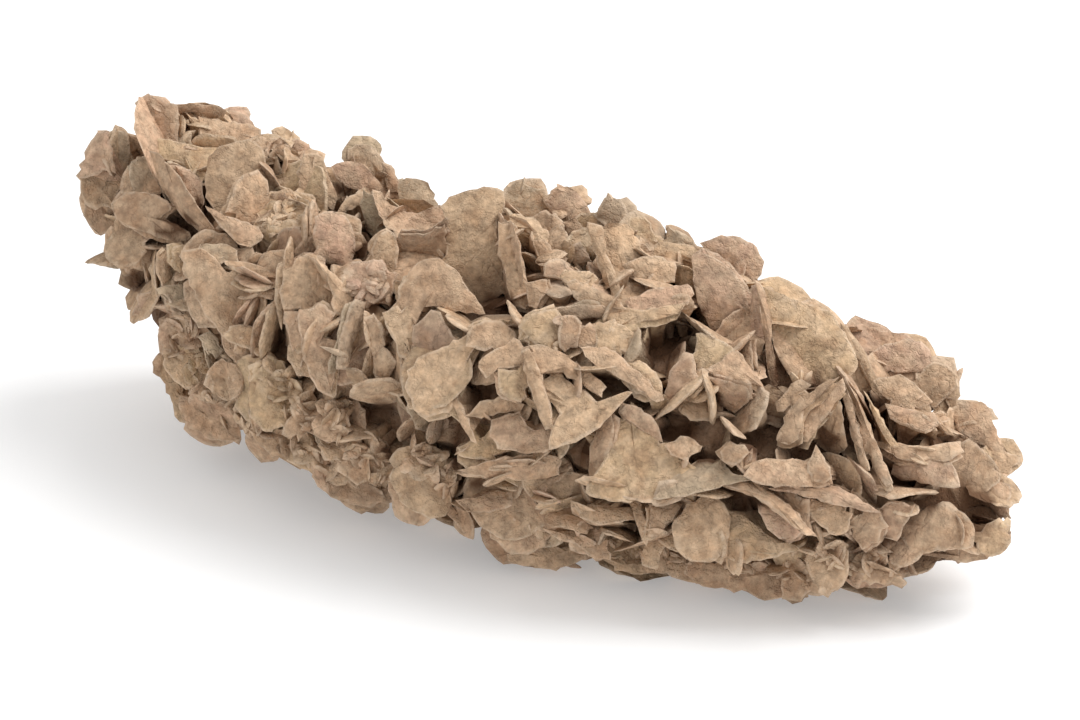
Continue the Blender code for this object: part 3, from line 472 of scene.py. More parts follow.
    ("p", 0.4, 0.25, 0.10, 5, (560, 318, 575, 316, 583, 324, 576, 345, 565, 351, 558, 342)),
    ("g", 0.4, 0.00, -0.30, 2, (556, 311, 580, 303, 602, 306, 625, 313, 640, 315, 620, 319, 598, 318, 578,
        319)),
    ("n", 0.7, 0.10, 0.30, 3, (601, 226, 616, 222, 631, 225, 640, 240, 641, 256, 626, 262, 632, 276, 641,
        290, 630, 293, 618, 280, 608, 262)),
    # Right of the middle
    ("y", 0.4, 0.20, 0.20, 0, (630, 219, 640, 216, 650, 222, 654, 235, 661, 242, 652, 251, 642, 246, 634,
        233)),
    ("g", 0.3, -0.50, 0.30, 3, (667, 228, 681, 233, 693, 241, 703, 251, 688, 244, 668, 239)),
    ("n", 0.5, 0.10, 0.50, 3, (654, 244, 668, 241, 690, 246, 700, 252, 692, 262, 684, 258, 672, 263, 650,
        256)),
    ("p", 0.35, 0.00, 0.05, 9, (690, 256, 700, 251, 715, 257, 733, 271, 745, 290, 750, 313, 740, 326, 728,
        341, 712, 333, 705, 318, 698, 300, 692, 280)),
    ("p", 0.4, 0.25, 0.15, 2, (700, 243, 715, 237, 732, 237, 746, 241, 756, 249, 763, 262, 763, 276, 752,
        282, 740, 277, 730, 267, 715, 256, 703, 249)),
    ("p", 0.3, -0.50, 0.00, 7, (751, 286, 757, 283, 763, 300, 768, 341, 761, 351, 752, 349)),
    ("n", 0.3, 0.60, 0.00, 7, (757, 281, 765, 286, 771, 320, 771, 346, 780, 380, 777, 398, 768, 371, 764,
        330)),
    ("y", 0.3, -0.15, 0.40, 8, (695, 334, 702, 332, 718, 341, 733, 350, 718, 363, 707, 371, 700, 375, 696,
        353)),
    ("n", 0.3, 0.30, 0.50, 7, (708, 371, 721, 361, 735, 349, 746, 363, 766, 389, 750, 384, 728, 378)),
    ("d", 0.3, -0.70, -0.20, 2, (739, 351, 750, 340, 753, 373, 745, 369)),
    ("p", 0.3, -0.40, -0.80, 1, (710, 376, 730, 381, 748, 388, 748, 402, 735, 412, 717, 402)),
    ("g", 0.3, -0.50, 0.10, 5, (639, 329, 642, 331, 639, 352, 632, 363, 623, 362, 633, 342)),
    ("p", 0.3, -0.20, 0.20, 6, (662, 404, 671, 372, 682, 354, 692, 353, 695, 373, 699, 378, 680, 393)),
    ("n", 0.7, 0.00, 0.40, 3, (622, 264, 648, 256, 676, 262, 674, 281, 655, 287, 640, 281)),
    ("n", 0.4, 0.00, 0.60, 5, (625, 301, 655, 288, 688, 284, 692, 293, 686, 305, 660, 309, 630, 309)),
    ("y", 0.3, 0.00, 0.70, 7, (600, 314, 640, 309, 686, 304, 679, 315, 650, 323, 620, 325, 605, 320)),
    ("y", 0.6, -0.10, 0.50, 4, (618, 366, 640, 362, 656, 371, 663, 387, 663, 402, 650, 401, 632, 387)),
    ("y", 0.7, 0.00, 0.50, 3, (590, 325, 612, 322, 634, 333, 632, 350, 615, 352, 598, 344)),
    ("n", 0.4, 0.00, 0.60, 6, (582, 347, 598, 346, 614, 352, 634, 368, 652, 385, 664, 399, 655, 401, 640,
        390, 620, 378, 600, 369, 588, 361)),
    # Right shoulder
    ("y", 0.4, 0.00, 0.15, 8, (765, 301, 772, 291, 790, 299, 805, 303, 830, 312, 842, 328, 853, 350, 859,
        368, 848, 376, 838, 381, 820, 386, 800, 380, 789, 372, 781, 350, 775, 335, 768, 320)),
    ("n", 0.3, 0.90, 0.20, 8, (840, 325, 847, 328, 863, 352, 873, 372, 881, 401, 872, 391, 864, 373, 858,
        362, 850, 345)),
    ("p", 0.4, 0.10, 0.30, 0, (846, 326, 865, 323, 882, 329, 905, 335, 905, 343, 890, 351, 880, 347, 868,
        352, 858, 344)),
    ("p", 0.6, 0.20, 0.20, 2, (868, 353, 880, 347, 905, 340, 921, 343, 931, 356, 926, 366, 906, 373, 890,
        373, 878, 376, 872, 363)),
    ("n", 0.3, -0.10, 0.30, 4, (925, 366, 935, 362, 947, 366, 958, 376, 957, 386, 945, 398, 935, 409, 925,
        399, 914, 385)),
    ("n", 0.4, 0.10, 0.40, 5, (873, 379, 900, 375, 915, 383, 933, 401, 920, 409, 900, 406, 889, 401, 880,
        396)),
    ("n", 0.4, 0.60, 0.10, 2, (957, 377, 960, 396, 951, 411, 946, 401)),
    ("n", 0.5, 0.10, 0.60, 5, (885, 406, 906, 409, 931, 413, 939, 426, 924, 433, 905, 426, 890, 420)),
    ("n", 0.3, 0.30, 0.80, 8, (905, 408, 926, 410, 942, 420, 957, 439, 946, 434, 928, 419)),
    ("n", 0.3, -0.80, 0.10, 10, (838, 384, 846, 383, 856, 414, 863, 440, 870, 471, 863, 472, 856, 455,
        850, 430, 846, 405)),
    ("n", 0.3, -0.40, 0.30, 11, (852, 388, 860, 400, 872, 430, 882, 460, 891, 481, 886, 486, 875, 470,
        864, 442, 856, 415)),
    ("n", 0.3, 0.20, 0.50, 9, (863, 391, 872, 400, 886, 425, 901, 449, 890, 446, 878, 426, 870, 408)),
    ("d", 0.3, -0.60, -0.60, 0, (842, 400, 844, 425, 849, 446, 836, 456, 820, 446, 811, 436, 825, 420)),
    ("n", 0.35, -0.30, 0.30, 9, (799, 441, 803, 415, 820, 397, 842, 380, 845, 390, 833, 408, 819, 425,
        808, 444)),
    ("n", 0.35, -0.30, 0.30, 7, (774, 441, 782, 424, 790, 407, 806, 394, 824, 382, 840, 377, 818, 398,
        804, 412, 800, 440, 788, 446)),
    ("n", 0.4, -0.30, 0.30, 5, (776, 403, 783, 394, 791, 385, 801, 379, 812, 384, 803, 396, 790, 407, 779,
        414)),
    # Right end
    ("n", 0.4, 0.25, 0.10, 2, (950, 411, 961, 401, 975, 401, 987, 403, 991, 420, 998, 435, 1003, 446, 990,
        449, 975, 441, 962, 436)),
    ("n", 0.4, 0.10, 0.30, 2, (985, 447, 1002, 446, 1011, 452, 1020, 456, 1019, 463, 1010, 472, 1000, 481,
        991, 471)),
    ("y", 0.5, 0.00, 0.15, 5, (950, 452, 962, 446, 984, 450, 994, 464, 1001, 479, 992, 488, 984, 495, 974,
        496, 965, 486, 958, 476)),
    ("n", 0.4, 0.10, 0.10, 4, (984, 495, 1000, 481, 1010, 483, 1011, 498, 1004, 504, 1010, 517, 1000, 516,
        991, 508, 980, 503, 973, 498)),
    ("n", 0.3, 0.00, 0.70, 8, (875, 441, 900, 443, 925, 446, 948, 449, 960, 442, 964, 451, 950, 459, 930,
        459, 902, 461, 887, 453)),
    ("p", 0.3, -0.10, 0.20, 6, (895, 463, 925, 459, 945, 460, 956, 475, 959, 486, 940, 486, 916, 481, 901,
        481, 889, 472)),
    ("n", 0.5, -0.20, 0.15, 7, (902, 531, 911, 516, 929, 506, 950, 503, 965, 515, 975, 530, 973, 546, 950,
        549, 930, 552, 915, 553, 905, 546)),
    ("y", 0.6, 0.20, 0.05, 5, (975, 536, 985, 523, 1000, 519, 1008, 526, 1010, 544, 1000, 555, 985, 557,
        976, 551)),
    ("d", 0.5, 0.00, -0.60, 3, (936, 552, 950, 548, 972, 548, 986, 558, 966, 563, 946, 559)),
    ("d", 0.5, -0.20, -0.20, 2, (858, 506, 880, 508, 899, 501, 916, 506, 906, 521, 898, 541, 882, 537,
        870, 546, 860, 530)),
    # Lower middle
    ("n", 0.3, -0.10, 0.50, 10, (543, 383, 550, 376, 560, 376, 585, 393, 606, 409, 628, 393, 633, 396,
        619, 408, 600, 427, 575, 441, 550, 449, 552, 430, 560, 415, 552, 404)),
    ("p", 0.25, -0.30, 0.60, 9, (491, 421, 520, 411, 526, 426, 536, 431, 549, 429, 553, 446, 545, 453,
        515, 453, 499, 447, 490, 436)),
    ("d", 0.3, -0.80, 0.00, 6, (589, 471, 590, 448, 598, 430, 608, 422, 615, 424, 612, 441, 606, 458, 600,
        470, 595, 481)),
    ("y", 0.6, 0.00, 0.30, 8, (615, 424, 625, 420, 646, 435, 666, 446, 681, 456, 690, 466, 680, 480, 668,
        490, 651, 500, 630, 503, 604, 501, 584, 493, 590, 481, 600, 470, 612, 446)),
    ("p", 0.3, -0.30, -0.40, 4, (625, 403, 640, 408, 655, 420, 663, 439, 645, 432, 628, 420, 621, 411)),
    ("n", 0.4, 0.00, 0.40, 5, (665, 446, 680, 437, 695, 438, 703, 446, 700, 453, 686, 461, 672, 456)),
    ("g", 0.4, 0.00, 0.60, 8, (688, 466, 704, 458, 722, 461, 731, 473, 746, 478, 725, 486, 700, 493, 672,
        498, 653, 501, 660, 490, 675, 478)),
    ("n", 0.3, -0.10, 0.20, 6, (730, 441, 745, 445, 749, 452, 735, 467, 722, 461, 718, 451)),
    ("n", 0.4, -0.05, 0.15, 9, (689, 506, 700, 498, 712, 492, 720, 500, 728, 508, 731, 520, 727, 536, 725,
        549, 715, 559, 700, 563, 685, 559, 675, 546, 672, 530, 680, 515)),
    ("n", 0.3, -0.40, 0.10, 6, (631, 503, 640, 505, 649, 531, 645, 546, 639, 529)),
    ("n", 0.4, 0.20, 0.10, 5, (650, 504, 681, 505, 672, 520, 656, 536, 648, 536, 650, 516)),
    ("n", 0.4, 0.00, 0.40, 4, (574, 506, 600, 506, 630, 508, 641, 515, 626, 521, 600, 523, 585, 519)),
    ("n", 0.4, -0.50, 0.10, 6, (640, 556, 650, 537, 668, 521, 673, 530, 664, 549, 657, 569, 645, 569)),
    ("n", 0.5, 0.00, 0.70, 5, (544, 512, 575, 515, 591, 525, 585, 533, 565, 529, 545, 524)),
    ("n", 0.5, 0.00, 0.60, 5, (544, 530, 570, 532, 589, 540, 580, 547, 560, 541)),
    ("y", 0.85, 0.00, 0.10, 4, (608, 562, 620, 557, 640, 564, 651, 570, 640, 574, 616, 573)),
    # Lower right
    ("n", 0.25, 0.00, 0.40, 8, (744, 476, 752, 465, 765, 459, 785, 458, 800, 461, 812, 468, 809, 480, 812,
        487, 790, 487, 770, 485, 755, 483)),
    ("n", 0.3, 0.10, 0.20, 9, (807, 472, 815, 444, 828, 462, 833, 479, 825, 483, 812, 482)),
    ("p", 0.3, 0.00, 0.70, 9, (768, 487, 800, 485, 840, 486, 860, 498, 879, 511, 864, 509, 840, 506, 815,
        499, 790, 493)),
    ("n", 0.3, 0.10, 0.80, 10, (728, 479, 745, 479, 762, 488, 782, 500, 801, 520, 812, 533, 800, 531, 784,
        516, 764, 502, 745, 489, 730, 485)),
    ("p", 0.3, -0.20, 0.30, 6, (758, 505, 790, 510, 807, 530, 796, 539, 778, 539, 764, 523)),
    ("d", 0.3, -0.60, -0.20, 3, (774, 492, 809, 500, 811, 529, 796, 516, 781, 501)),
    ("n", 0.5, 0.10, 0.10, 6, (812, 500, 840, 506, 851, 513, 849, 530, 836, 536, 820, 526, 812, 516)),
    ("y", 0.5, -0.10, 0.30, 7, (725, 510, 746, 516, 760, 530, 775, 540, 797, 545, 801, 550, 785, 554, 760,
        561, 740, 561, 728, 556, 725, 535)),
    ("n", 0.85, -0.10, 0.10, 7, (834, 545, 850, 550, 849, 575, 835, 595, 823, 596, 815, 581, 807, 561,
        815, 548)),
    ("d", 0.4, -0.20, -0.20, 4, (850, 515, 880, 512, 886, 526, 878, 541, 862, 549, 852, 536)),
    ("n", 0.85, 0.00, 0.20, 5, (850, 560, 870, 565, 890, 565, 901, 575, 886, 586, 865, 585, 855, 576)),
    # Left of the middle
    ("n", 0.3, 0.00, 0.35, 7, (467, 346, 470, 328, 485, 320, 501, 322, 513, 332, 505, 346, 486, 351)),
    ("y", 0.25, -0.10, 0.15, 10, (411, 398, 405, 388, 408, 371, 418, 358, 437, 349, 460, 341, 473, 346,
        466, 365, 464, 376, 461, 388, 456, 400, 448, 411, 426, 417, 415, 411)),
    ("n", 0.3, -0.80, 0.00, 9, (444, 376, 450, 378, 462, 404, 471, 425, 479, 443, 472, 441, 462, 425, 452,
        401)),
    ("n", 0.3, -0.10, 0.30, 7, (478, 362, 490, 352, 505, 345, 512, 338, 521, 340, 523, 366, 498, 369, 486,
        379, 480, 373)),
    ("n", 0.3, -0.10, 0.10, 6, (498, 370, 523, 368, 527, 396, 521, 402, 505, 396, 498, 386)),
    ("n", 0.4, 0.00, -0.30, 3, (465, 416, 480, 402, 500, 396, 526, 404, 520, 411, 500, 413, 480, 419)),
    ("n", 0.3, -0.40, 0.20, 10, (521, 350, 529, 347, 540, 369, 547, 400, 552, 427, 545, 430, 538, 411,
        528, 386, 522, 370)),
    ("n", 0.5, 0.00, 0.40, 4, (529, 345, 560, 352, 590, 371, 606, 386, 600, 397, 580, 383, 562, 373, 541,
        374, 534, 358)),
    ("y", 0.5, -0.10, 0.30, 6, (457, 446, 475, 440, 491, 432, 499, 446, 506, 453, 490, 459, 470, 461, 458,
        456)),
    ("n", 0.4, 0.00, -0.50, 4, (459, 471, 500, 458, 545, 455, 561, 462, 559, 476, 540, 481, 510, 479, 480,
        476)),
    ("n", 0.3, 0.00, 0.40, 6, (454, 501, 500, 490, 512, 493, 510, 506, 490, 513, 465, 513)),
    ("n", 0.85, 0.00, 0.05, 6, (489, 513, 520, 508, 540, 525, 546, 546, 526, 553, 505, 552, 492, 537)),
    ("n", 0.85, 0.00, 0.05, 8, (390, 461, 400, 449, 430, 445, 446, 454, 449, 480, 451, 513, 440, 519, 420,
        515, 400, 503, 392, 490)),
    ("n", 0.3, -0.30, 0.00, 5, (451, 510, 465, 515, 473, 536, 465, 534, 455, 521)),
    # Lower left
    ("d", 0.82, -0.30, -0.50, 4, (159, 336, 161, 321, 178, 316, 195, 325, 201, 333, 190, 343, 175, 351,
        162, 351)),
    ("y", 0.9, -0.20, 0.20, 5, (163, 353, 185, 346, 201, 346, 206, 366, 200, 386, 180, 386, 166, 371)),
    ("g", 0.5, -0.20, 0.20, 3, (200, 336, 212, 330, 223, 350, 217, 359, 205, 351)),
    ("n", 0.8, -0.10, 0.10, 6, (209, 376, 220, 364, 237, 365, 246, 381, 240, 396, 226, 401, 212, 391)),
    ("y", 0.82, -0.05, 0.15, 8, (247, 386, 251, 368, 264, 356, 279, 360, 292, 378, 293, 395, 289, 412,
        282, 426, 264, 430, 250, 417, 245, 401)),
    ("n", 0.85, 0.20, 0.10, 5, (282, 426, 300, 405, 315, 395, 320, 405, 312, 426, 300, 439, 285, 433)),
    ("d", 0.85, -0.20, -0.50, 3, (249, 428, 285, 431, 284, 455, 272, 458, 258, 445)),
    ("n", 0.8, 0.00, 0.30, 5, (310, 421, 330, 405, 346, 412, 351, 426, 336, 441, 318, 441)),
    ("n", 0.85, 0.00, 0.40, 6, (317, 446, 340, 442, 356, 451, 345, 461, 325, 459)),
    ("n", 0.85, 0.00, 0.20, 5, (356, 446, 386, 451, 391, 471, 381, 487, 350, 482, 335, 471, 346, 461)),
    ("n", 0.8, 0.00, -0.10, 5, (320, 479, 350, 483, 391, 486, 393, 501, 370, 509, 345, 503, 326, 493)),
    ("n", 0.8, -0.20, 0.10, 5, (181, 396, 200, 401, 230, 405, 239, 426, 239, 443, 218, 440, 200, 434, 182,
        420)),
    ("n", 0.7, -0.30, 0.10, 3, (161, 352, 170, 372, 182, 386, 184, 410, 180, 420, 168, 396, 160, 376)),
    ("n", 0.85, -0.10, 0.00, 4, (282, 432, 300, 440, 312, 455, 316, 473, 300, 469, 282, 457)),
    ("n", 0.85, -0.10, 0.00, 4, (312, 440, 330, 462, 328, 491, 318, 486, 310, 470)),
    ("n", 0.85, 0.00, -0.10, 4, (326, 486, 350, 484, 372, 500, 376, 510, 360, 511, 342, 502)),
    ("n", 0.85, 0.00, -0.10, 4, (507, 553, 528, 553, 548, 546, 575, 548, 592, 556, 576, 563, 556, 570,
        535, 569, 510, 562)),
    ("n", 0.85, 0.00, 0.10, 4, (592, 530, 608, 540, 612, 562, 596, 562, 582, 550)),
    ("n", 0.85, 0.00, 0.10, 5, (640, 568, 668, 556, 700, 560, 703, 578, 690, 584, 665, 574, 650, 575)),
    ("d", 0.85, 0.00, 0.00, 3, (690, 562, 720, 562, 745, 560, 770, 562, 788, 572, 780, 598, 764, 599, 748,
        591, 720, 589, 700, 585, 686, 574)),
    ("d", 0.85, 0.00, 0.00, 4, (784, 560, 800, 556, 806, 575, 812, 592, 800, 599, 784, 599, 778, 580)),
]

# Thin blades that stand edge on and spread from one place: across, down, reach, first and last turn
# in degrees anticlockwise from the right, and how many.
SPRAYS = [
    (274, 286, 36, 150, 202, 4), (262, 290, 40, 232, 284, 4), (280, 302, 56, 244, 256, 2),
    (538, 263, 28, -8, 14, 2), (801, 388, 18, 60, 125, 3), (178, 140, 26, 72, 96, 2),
    (648, 322, 30, 215, 262, 3), (741, 470, 22, 20, 100, 3), (560, 500, 26, 160, 200, 3),
    (900, 450, 40, 322, 350, 3), (520, 470, 36, 170, 200, 3), (690, 400, 30, 20, 60, 2),
]
SPRAY_LEAN = (0.10, 0.50)      # how far such a blade turns its face to the camera
SPRAY_TURN = 6.0               # its turn is off by up to this much either way
SPRAY_OUT = 1.05               # from the place they spread from to a blade's middle, in half lengths
SPRAY_SINK = 0.62
SPRAY_SET_BACK = 0.002
SPRAY_SIZE = (0.9, 1.15)
SPRAY_GRIT = 0.3
SPRAY_TONES = "nnyp"

FIN_ROUGHNESS = 0.38           # listed faces at least this rough carry a small standing blade
FIN_SMALLEST = 0.009
FIN_PLACE = (0.5, 0.8)
FIN_RADIUS = (0.30, 0.50)
FIN_TILT = (50.0, 85.0)
FIN_SINK = 0.35
FIN_GRIT = 0.4

MILLIMETRE = 0.001
FACET_SINK = 0.0075            # from the outer form back to a face with no lift
FACET_TWIN_SHARE = 0.5
FACET_TWIN_GAP = (0.0016, 0.0034)
FACET_TWIN_SLIDE = 0.0022
FACET_SWELL = 1.015            # so that neighbours overlap
FACET_CROWN = 0.95
FACET_FULLNESS = 1.15
FACET_RIM = 0.0004
FACET_SIDE_BULGE = 0.012
FACET_JITTER = 0.0005
FACET_JITTER_BASE = 0.6        # share of the jitter that a face with no roughness has
FACET_WARP = 0.7

FAR = 9.0                      # stands for no face in the face map
FACE_STEP = 3                  # pixels between the places of the face map
FACE_CLEARANCE = 0.001
PLATE_POINTS_HIDING = 1        # outline points of a show blade that may stand in front of faces
OTHER_POINTS_HIDING = 2        # the same for every other blade that isn't listed
BACK_STEP = 0.0015
BACK_STEPS = 8
UNDER_STEP = 0.0012            # a face goes on under its nearer neighbours by steps of this
UNDER_STEPS = 8
UNDER_CLEARANCE = 0.0006

# --- Grown blades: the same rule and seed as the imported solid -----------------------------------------
GROWTH_SEED = 41
GROWN_COUNT = 53
GROWN_TRIES = 6000
SPINE_START = -0.225
SPINE_END = 0.215
SPINE_REACHES = np.arange(0.0, 0.14, 0.001)[:, None]   # places tried outwards from the spine
GROWN_RADIUS = (0.026, 0.044)
GROWN_TILT = (25.0, 88.0)
GROWN_SPACING = 0.033
GROWN_BASE_SINK = 0.003
GROWN_EDGE_SINK = 0.68
GROWN_GRITS = (0.25, 0.4, 0.5, 0.9)
OUTLINE_POINTS = 12
SHOW_LIMIT = 0.45
NUDGES = np.eye(3) * 0.004     # steps along X, Y and Z that find the slope of the outer form
NEARLY_UPRIGHT = 0.9

# Blades that it rests on: x, y, half length, turn and tilt.
RESTING_BLADES = [
    (-0.165, -0.006, 0.034, 20.0, 16.0),
    (-0.120, 0.052, 0.036, 75.0, 14.0),
    (-0.030, -0.036, 0.034, 140.0, 15.0),
    (0.000, 0.044, 0.038, 10.0, 13.0),
    (0.090, -0.030, 0.034, 50.0, 14.0),
    (0.130, 0.036, 0.034, 110.0, 16.0),
    (0.200, 0.004, 0.030, 160.0, 15.0),
]
TRIMMED_DEPTH = 0.002
Z_AXIS = np.array((0.0, 0.0, 1.0))
DOWNWARDS = np.array((0.0, 0.0, -1.0))

# --- Fine growth, only in the looks -------------------------------------------------------------------
LOOK_SEED = 7
COVER_STEP = 5                 # pixels between the places of the cover map
# Fillers are blades between and under the large ones of the show side. Each set has its count, its
# spacing, its radius from and to, how far below the outer form the upper rims end from and to, and its
# tilt from and to.
FILLERS = (
    (190, 0.0150, 0.013, 0.024, 0.006, 0.015, 8.0, 50.0),
    (230, 0.0125, 0.008, 0.018, 0.003, 0.012, 40.0, 88.0),
)
FILLER_TRIES = 5000
FILLER_LEVEL = 0.88
FILLER_ACROSS = (80.0, 1020.0)
FILLER_DOWN = (90.0, 600.0)
FILLER_SINK = 0.9
FILLER_GRIT = (0.3, 0.9)
# Undergrowth does the same between the grown blades of the other sides, at the tilts of those.
UNDERGROWTH = (
    (260, 0.0190, 0.018, 0.032, -0.006, 0.008),
    (420, 0.0130, 0.008, 0.016, -0.004, 0.010),
)
UNDERGROWTH_TRIES = 5000
UNDERGROWTH_SINK = 0.85
UNDERGROWTH_LIMIT = SHOW_LIMIT + 0.1
CRUMB_ROUGHNESS = 0.78         # blades at least this rough carry crumbs
CRUMB_AREA = 0.000026          # of the face for each crumb
CRUMB_LEVEL = 0.97
CRUMB_RADIUS = (0.0028, 0.0074)
CRUMB_REACH = 0.86             # share of the half length within which crumbs stand
CRUMB_TILT = (20.0, 88.0)
CRUMB_GRIT = 0.6
CRUMB_POINTS_SKIPPED = 4       # each fourth point of a crumb's outline is checked
TWIN_SHARE = 0.22
TWIN_GAP = (0.0022, 0.0045)
TWIN_SLIDE = 0.22              # share of the half length
TWIN_TIP = (0.12, 0.08)        # how far its normal leans along the wide and the long axis
TWIN_SINK = 0.002
TWIN_SIZE = (0.82, 1.02)

LENS_THICKNESS = 0.0024        # at the crown of a fine blade
LENS_THICKNESS_RATIO = 0.055   # added for each metre of half length
SPOKE_LENGTH = 0.0036
SPOKE_LIMITS = (7, 44)
RING_SETS = (                  # from this half length on, the rings of a blade as shares of its reach
    (0.018, (1.0, 0.96, 0.86, 0.66, 0.38)),
    (0.009, (1.0, 0.93, 0.72, 0.38)),
    (0.0065, (1.0, 0.88, 0.50)),
    (0.000, (1.0, 0.62)),
)
RIM_HALF_THICKNESS = 0.00045
LENS_FULLNESS = 0.95           # power of the lens profile
WARP = (0.09, 0.07, 0.09)      # spread of bend, cup and twist, as shares of the half length
STEP_PLACE = (0.62, 0.90)      # where a growth step lies between crown and rim
STEP_DEPTH = (0.12, 0.35)      # its depth as a share of the half thickness
STEP_SHARE = 0.6
DENT_DEPTH = 0.16
DENT_SIZE = 0.45
DENT_SEED = 1
DENT_SHIFT = 3.7               # in the noise of the dents, from one blade to the next
TINT_SPREAD = 0.06
HUE_SPREAD = 0.012
TINT_LIMITS = (0.02, 0.9)
FAR_FROM_RIM = 0.05

# Outlines of the blades that aren't listed, in half lengths.
CORNER_COUNT = (4, 8)          # from, and up to but not with
CORNER_SHIFT = 0.26
CORNER_REACH = (0.88, 1.05)
TIP_REACH = (0.98, 1.04)       # of two opposite corners
SIDE_ROUNDING = (0.15, 0.85)   # from a straight side to an arc
RIM_WAVES = range(7, 20, 3)    # waves around a rim
RIM_WAVE_DEPTH = (0.003, 0.008)   # without roughness, and added by it
RIM_GRAIN_DEPTH = (0.002, 0.008)
BITE_COUNT = (0, 3)
BITE_DEPTH = (0.03, 0.14)
BITE_WIDTH = (0.08, 0.25)
OUTLINE_SWELL = 1.02
OUTLINE_LIMITS = (0.55, 1.14)

# Roots: the rear of a blade that faces outwards tapers back into the core.
SMALLEST_ROOTED = 0.0065
INNER_REACH = 0.80             # the part of a blade that points inwards is longer by this share
INNER_LIMIT = 0.045            # and no longer than this
ROOTED_FACING = 0.42
ROOT_LEVEL = 0.50
ROOT_LONGEST = 0.045
ROOT_STEP = 0.003
ROOT_SPREAD = 0.62
ROOT_POWER = 1.3

# The sandy heart that the blades grow from.
CORE_INSET = 0.027             # from the outer form
CORE_SMALLEST = (0.012, 0.010)
CORE_STEPS = 100
CORE_FEWEST_STEPS = 4
CORE_SPOKES = 56
CORE_START = OUTER_FORM[1, 0]
CORE_END = OUTER_FORM[-2, 0]
CORE_SETBACK = 0.004
CORE_ROOM = 0.003              # roots keep this far from its ends
CORE_WAVES = ((0.10, 0.016, 3), (0.06, 0.006, 4))   # share of the size, length and seed

# What is cut away: everything under the floor, and the opening that shows the floor.
UNDER_FLOOR_LOW = (-0.5, -0.4, -0.3)
UNDER_FLOOR_HIGH = (0.5, 0.4, 0.0)
OPENING_REACH = 0.30

# Unevenness of the finished surface: length, depth and seed of each wave.
GRIT_WAVES = ((0.0075, 0.0009, 11), (0.0034, 0.0007, 12), (0.0018, 0.0004, 13))
GRIT_BASE = 0.25
GRIT_GAIN = 0.85
GRIT_POWER = 1.5
SWELL_WAVE = (0.017, 0.0010, 14)   # slow, on rough and smooth blades alike
# Painted shade: surfaces deep inside the outer form, and those seen in the deep gaps, are darkened.
PAINTED_RECESS_SHADE_FROM = 0.88
PAINTED_RECESS_SHADE_RANGE = 0.34
PAINTED_GAP_SHADE_EDGE = 1.25
PAINTED_GAP_SHADE_FADE = 0.3
PAINTED_GAP_SHADE_LEVEL = 0.90
RIDGE_GAIN = 2.0
SHORTEST_EDGE = 1e-9
SHARP_ANGLE = 38.0

# --- Colours, linear ----------------------------------------------------------------------------------
TONES = {
    "n": (0.507, 0.340, 0.217),
    "y": (0.527, 0.365, 0.224),
    "p": (0.492, 0.321, 0.218),
    "g": (0.441, 0.328, 0.224),
    # d is a real darker brown on fillers, and painted shade on show blades and listed faces turned from the
    # light.
    "d": (0.406, 0.262, 0.168),
}
FILLER_TONES = "nnnnnnnyypggd"

# A noise is its size, detail and roughness. Pale dust and iron stain lie in patches over the tones:
# noise, the range of it in which a patch fades in, strength and colour.
PATCHES = (
    ((0.011, 6.0, 0.65), (0.42, 0.62), 0.55, (0.56, 0.41, 0.275)),
    ((0.017, 5.0, 0.65), (0.50, 0.66), 0.50, (0.325, 0.182, 0.096)),
)
# Lighter and darker places: noise, then its range and what the colour is multiplied by.
SHADES = (
    ((0.0052, 3.0, 0.55), (0.32, 0.68, 0.74, 1.22)),
    ((0.0016, 2.0, 0.6), (0.30, 0.70, 0.90, 1.09)),
)
WORN_RIDGE = (0.15, 0.70)
WORN_RIM = (0.0021, 0.0008)
WORN_NOISE = (0.005, 4.0, 0.6)
WORN_PATCHES = (0.36, 0.58, 0.10, 1.0)
WORN_STRENGTH = 0.45
WORN_COLOUR = (0.69, 0.545, 0.405)
# Painted shade in creases.
PAINTED_CREASE_SHADE_RIDGE = (-0.15, -0.8)
PAINTED_CREASE_SHADE_STRENGTH = 0.6
PAINTED_CREASE_SHADE_COLOUR = (0.172, 0.088, 0.040)
# Painted shade deep inside and in the deep gaps.
PAINTED_RECESS_SHADE_STRENGTH = 0.90
PAINTED_RECESS_SHADE_COLOUR = (0.092, 0.039, 0.016)
SAND_ROUGHNESS = 0.88
SAND_SPECULAR = 0.25

# Bump: noise and height in metres. Rings follow a rim, cracks follow the middle of their noise.
FINE_BUMP = ((0.0009, 4.0, 0.7), 0.0003)
COARSE_BUMP = ((0.0034, 4.0, 0.6), 0.0016)
CRACK_NOISE = (0.013, 5.0, 0.62)
CRACK_WIDTH = 0.05
CRACK_HEIGHT = 0.0006
RING_TURNS = 3600.0            # for each metre from the rim
RING_NOISE = (0.008, 2.0, 0.6)
RING_WANDER = 9.0
RING_HEIGHT = 0.00003
BUMP_STRENGTH = 0.9

# --- Pieces -------------------------------------------------------------------------------------------
# Regions along X that become one piece each: name and where it ends.
REGIONS = (
    ("left_end", -0.215),
    ("left_shoulder", -0.150),
    ("left_back", -0.085),
    ("left_middle", -0.025),
    ("middle", 0.030),
    ("right_middle", 0.085),
    ("right_shoulder", 0.150),
    ("right_end", 1.0),
)
REGION_OVERLAP = 0.004
SEE_THROUGH_REGIONS = ("right_shoulder", "right_end")
PIECE_TRIANGLES = 118000       # most that a piece may have

# --- Stage --------------------------------------------------------------------------------------------
FLOOR_REACH = 6.0
FLOOR_DROP = 0.0003
FLOOR_COLOUR = (0.73, 0.73, 0.73, 1.0)
FLOOR_ROUGHNESS = 0.9
FLOOR_SPECULAR = 0.1
FLOOR_GLOW = 0.27
WHITE = (1.0, 1.0, 1.0, 1.0)
WORLD_STRENGTH = 0.88
KEY_DISTANCE = 2.4
KEY_SIZE = 2.0
KEY_POWER = 72.0
KEY_AIM = np.array((0.0, 0.0, 0.08))
SENSOR_WIDTH = 36.0
CLIP_START = 0.1

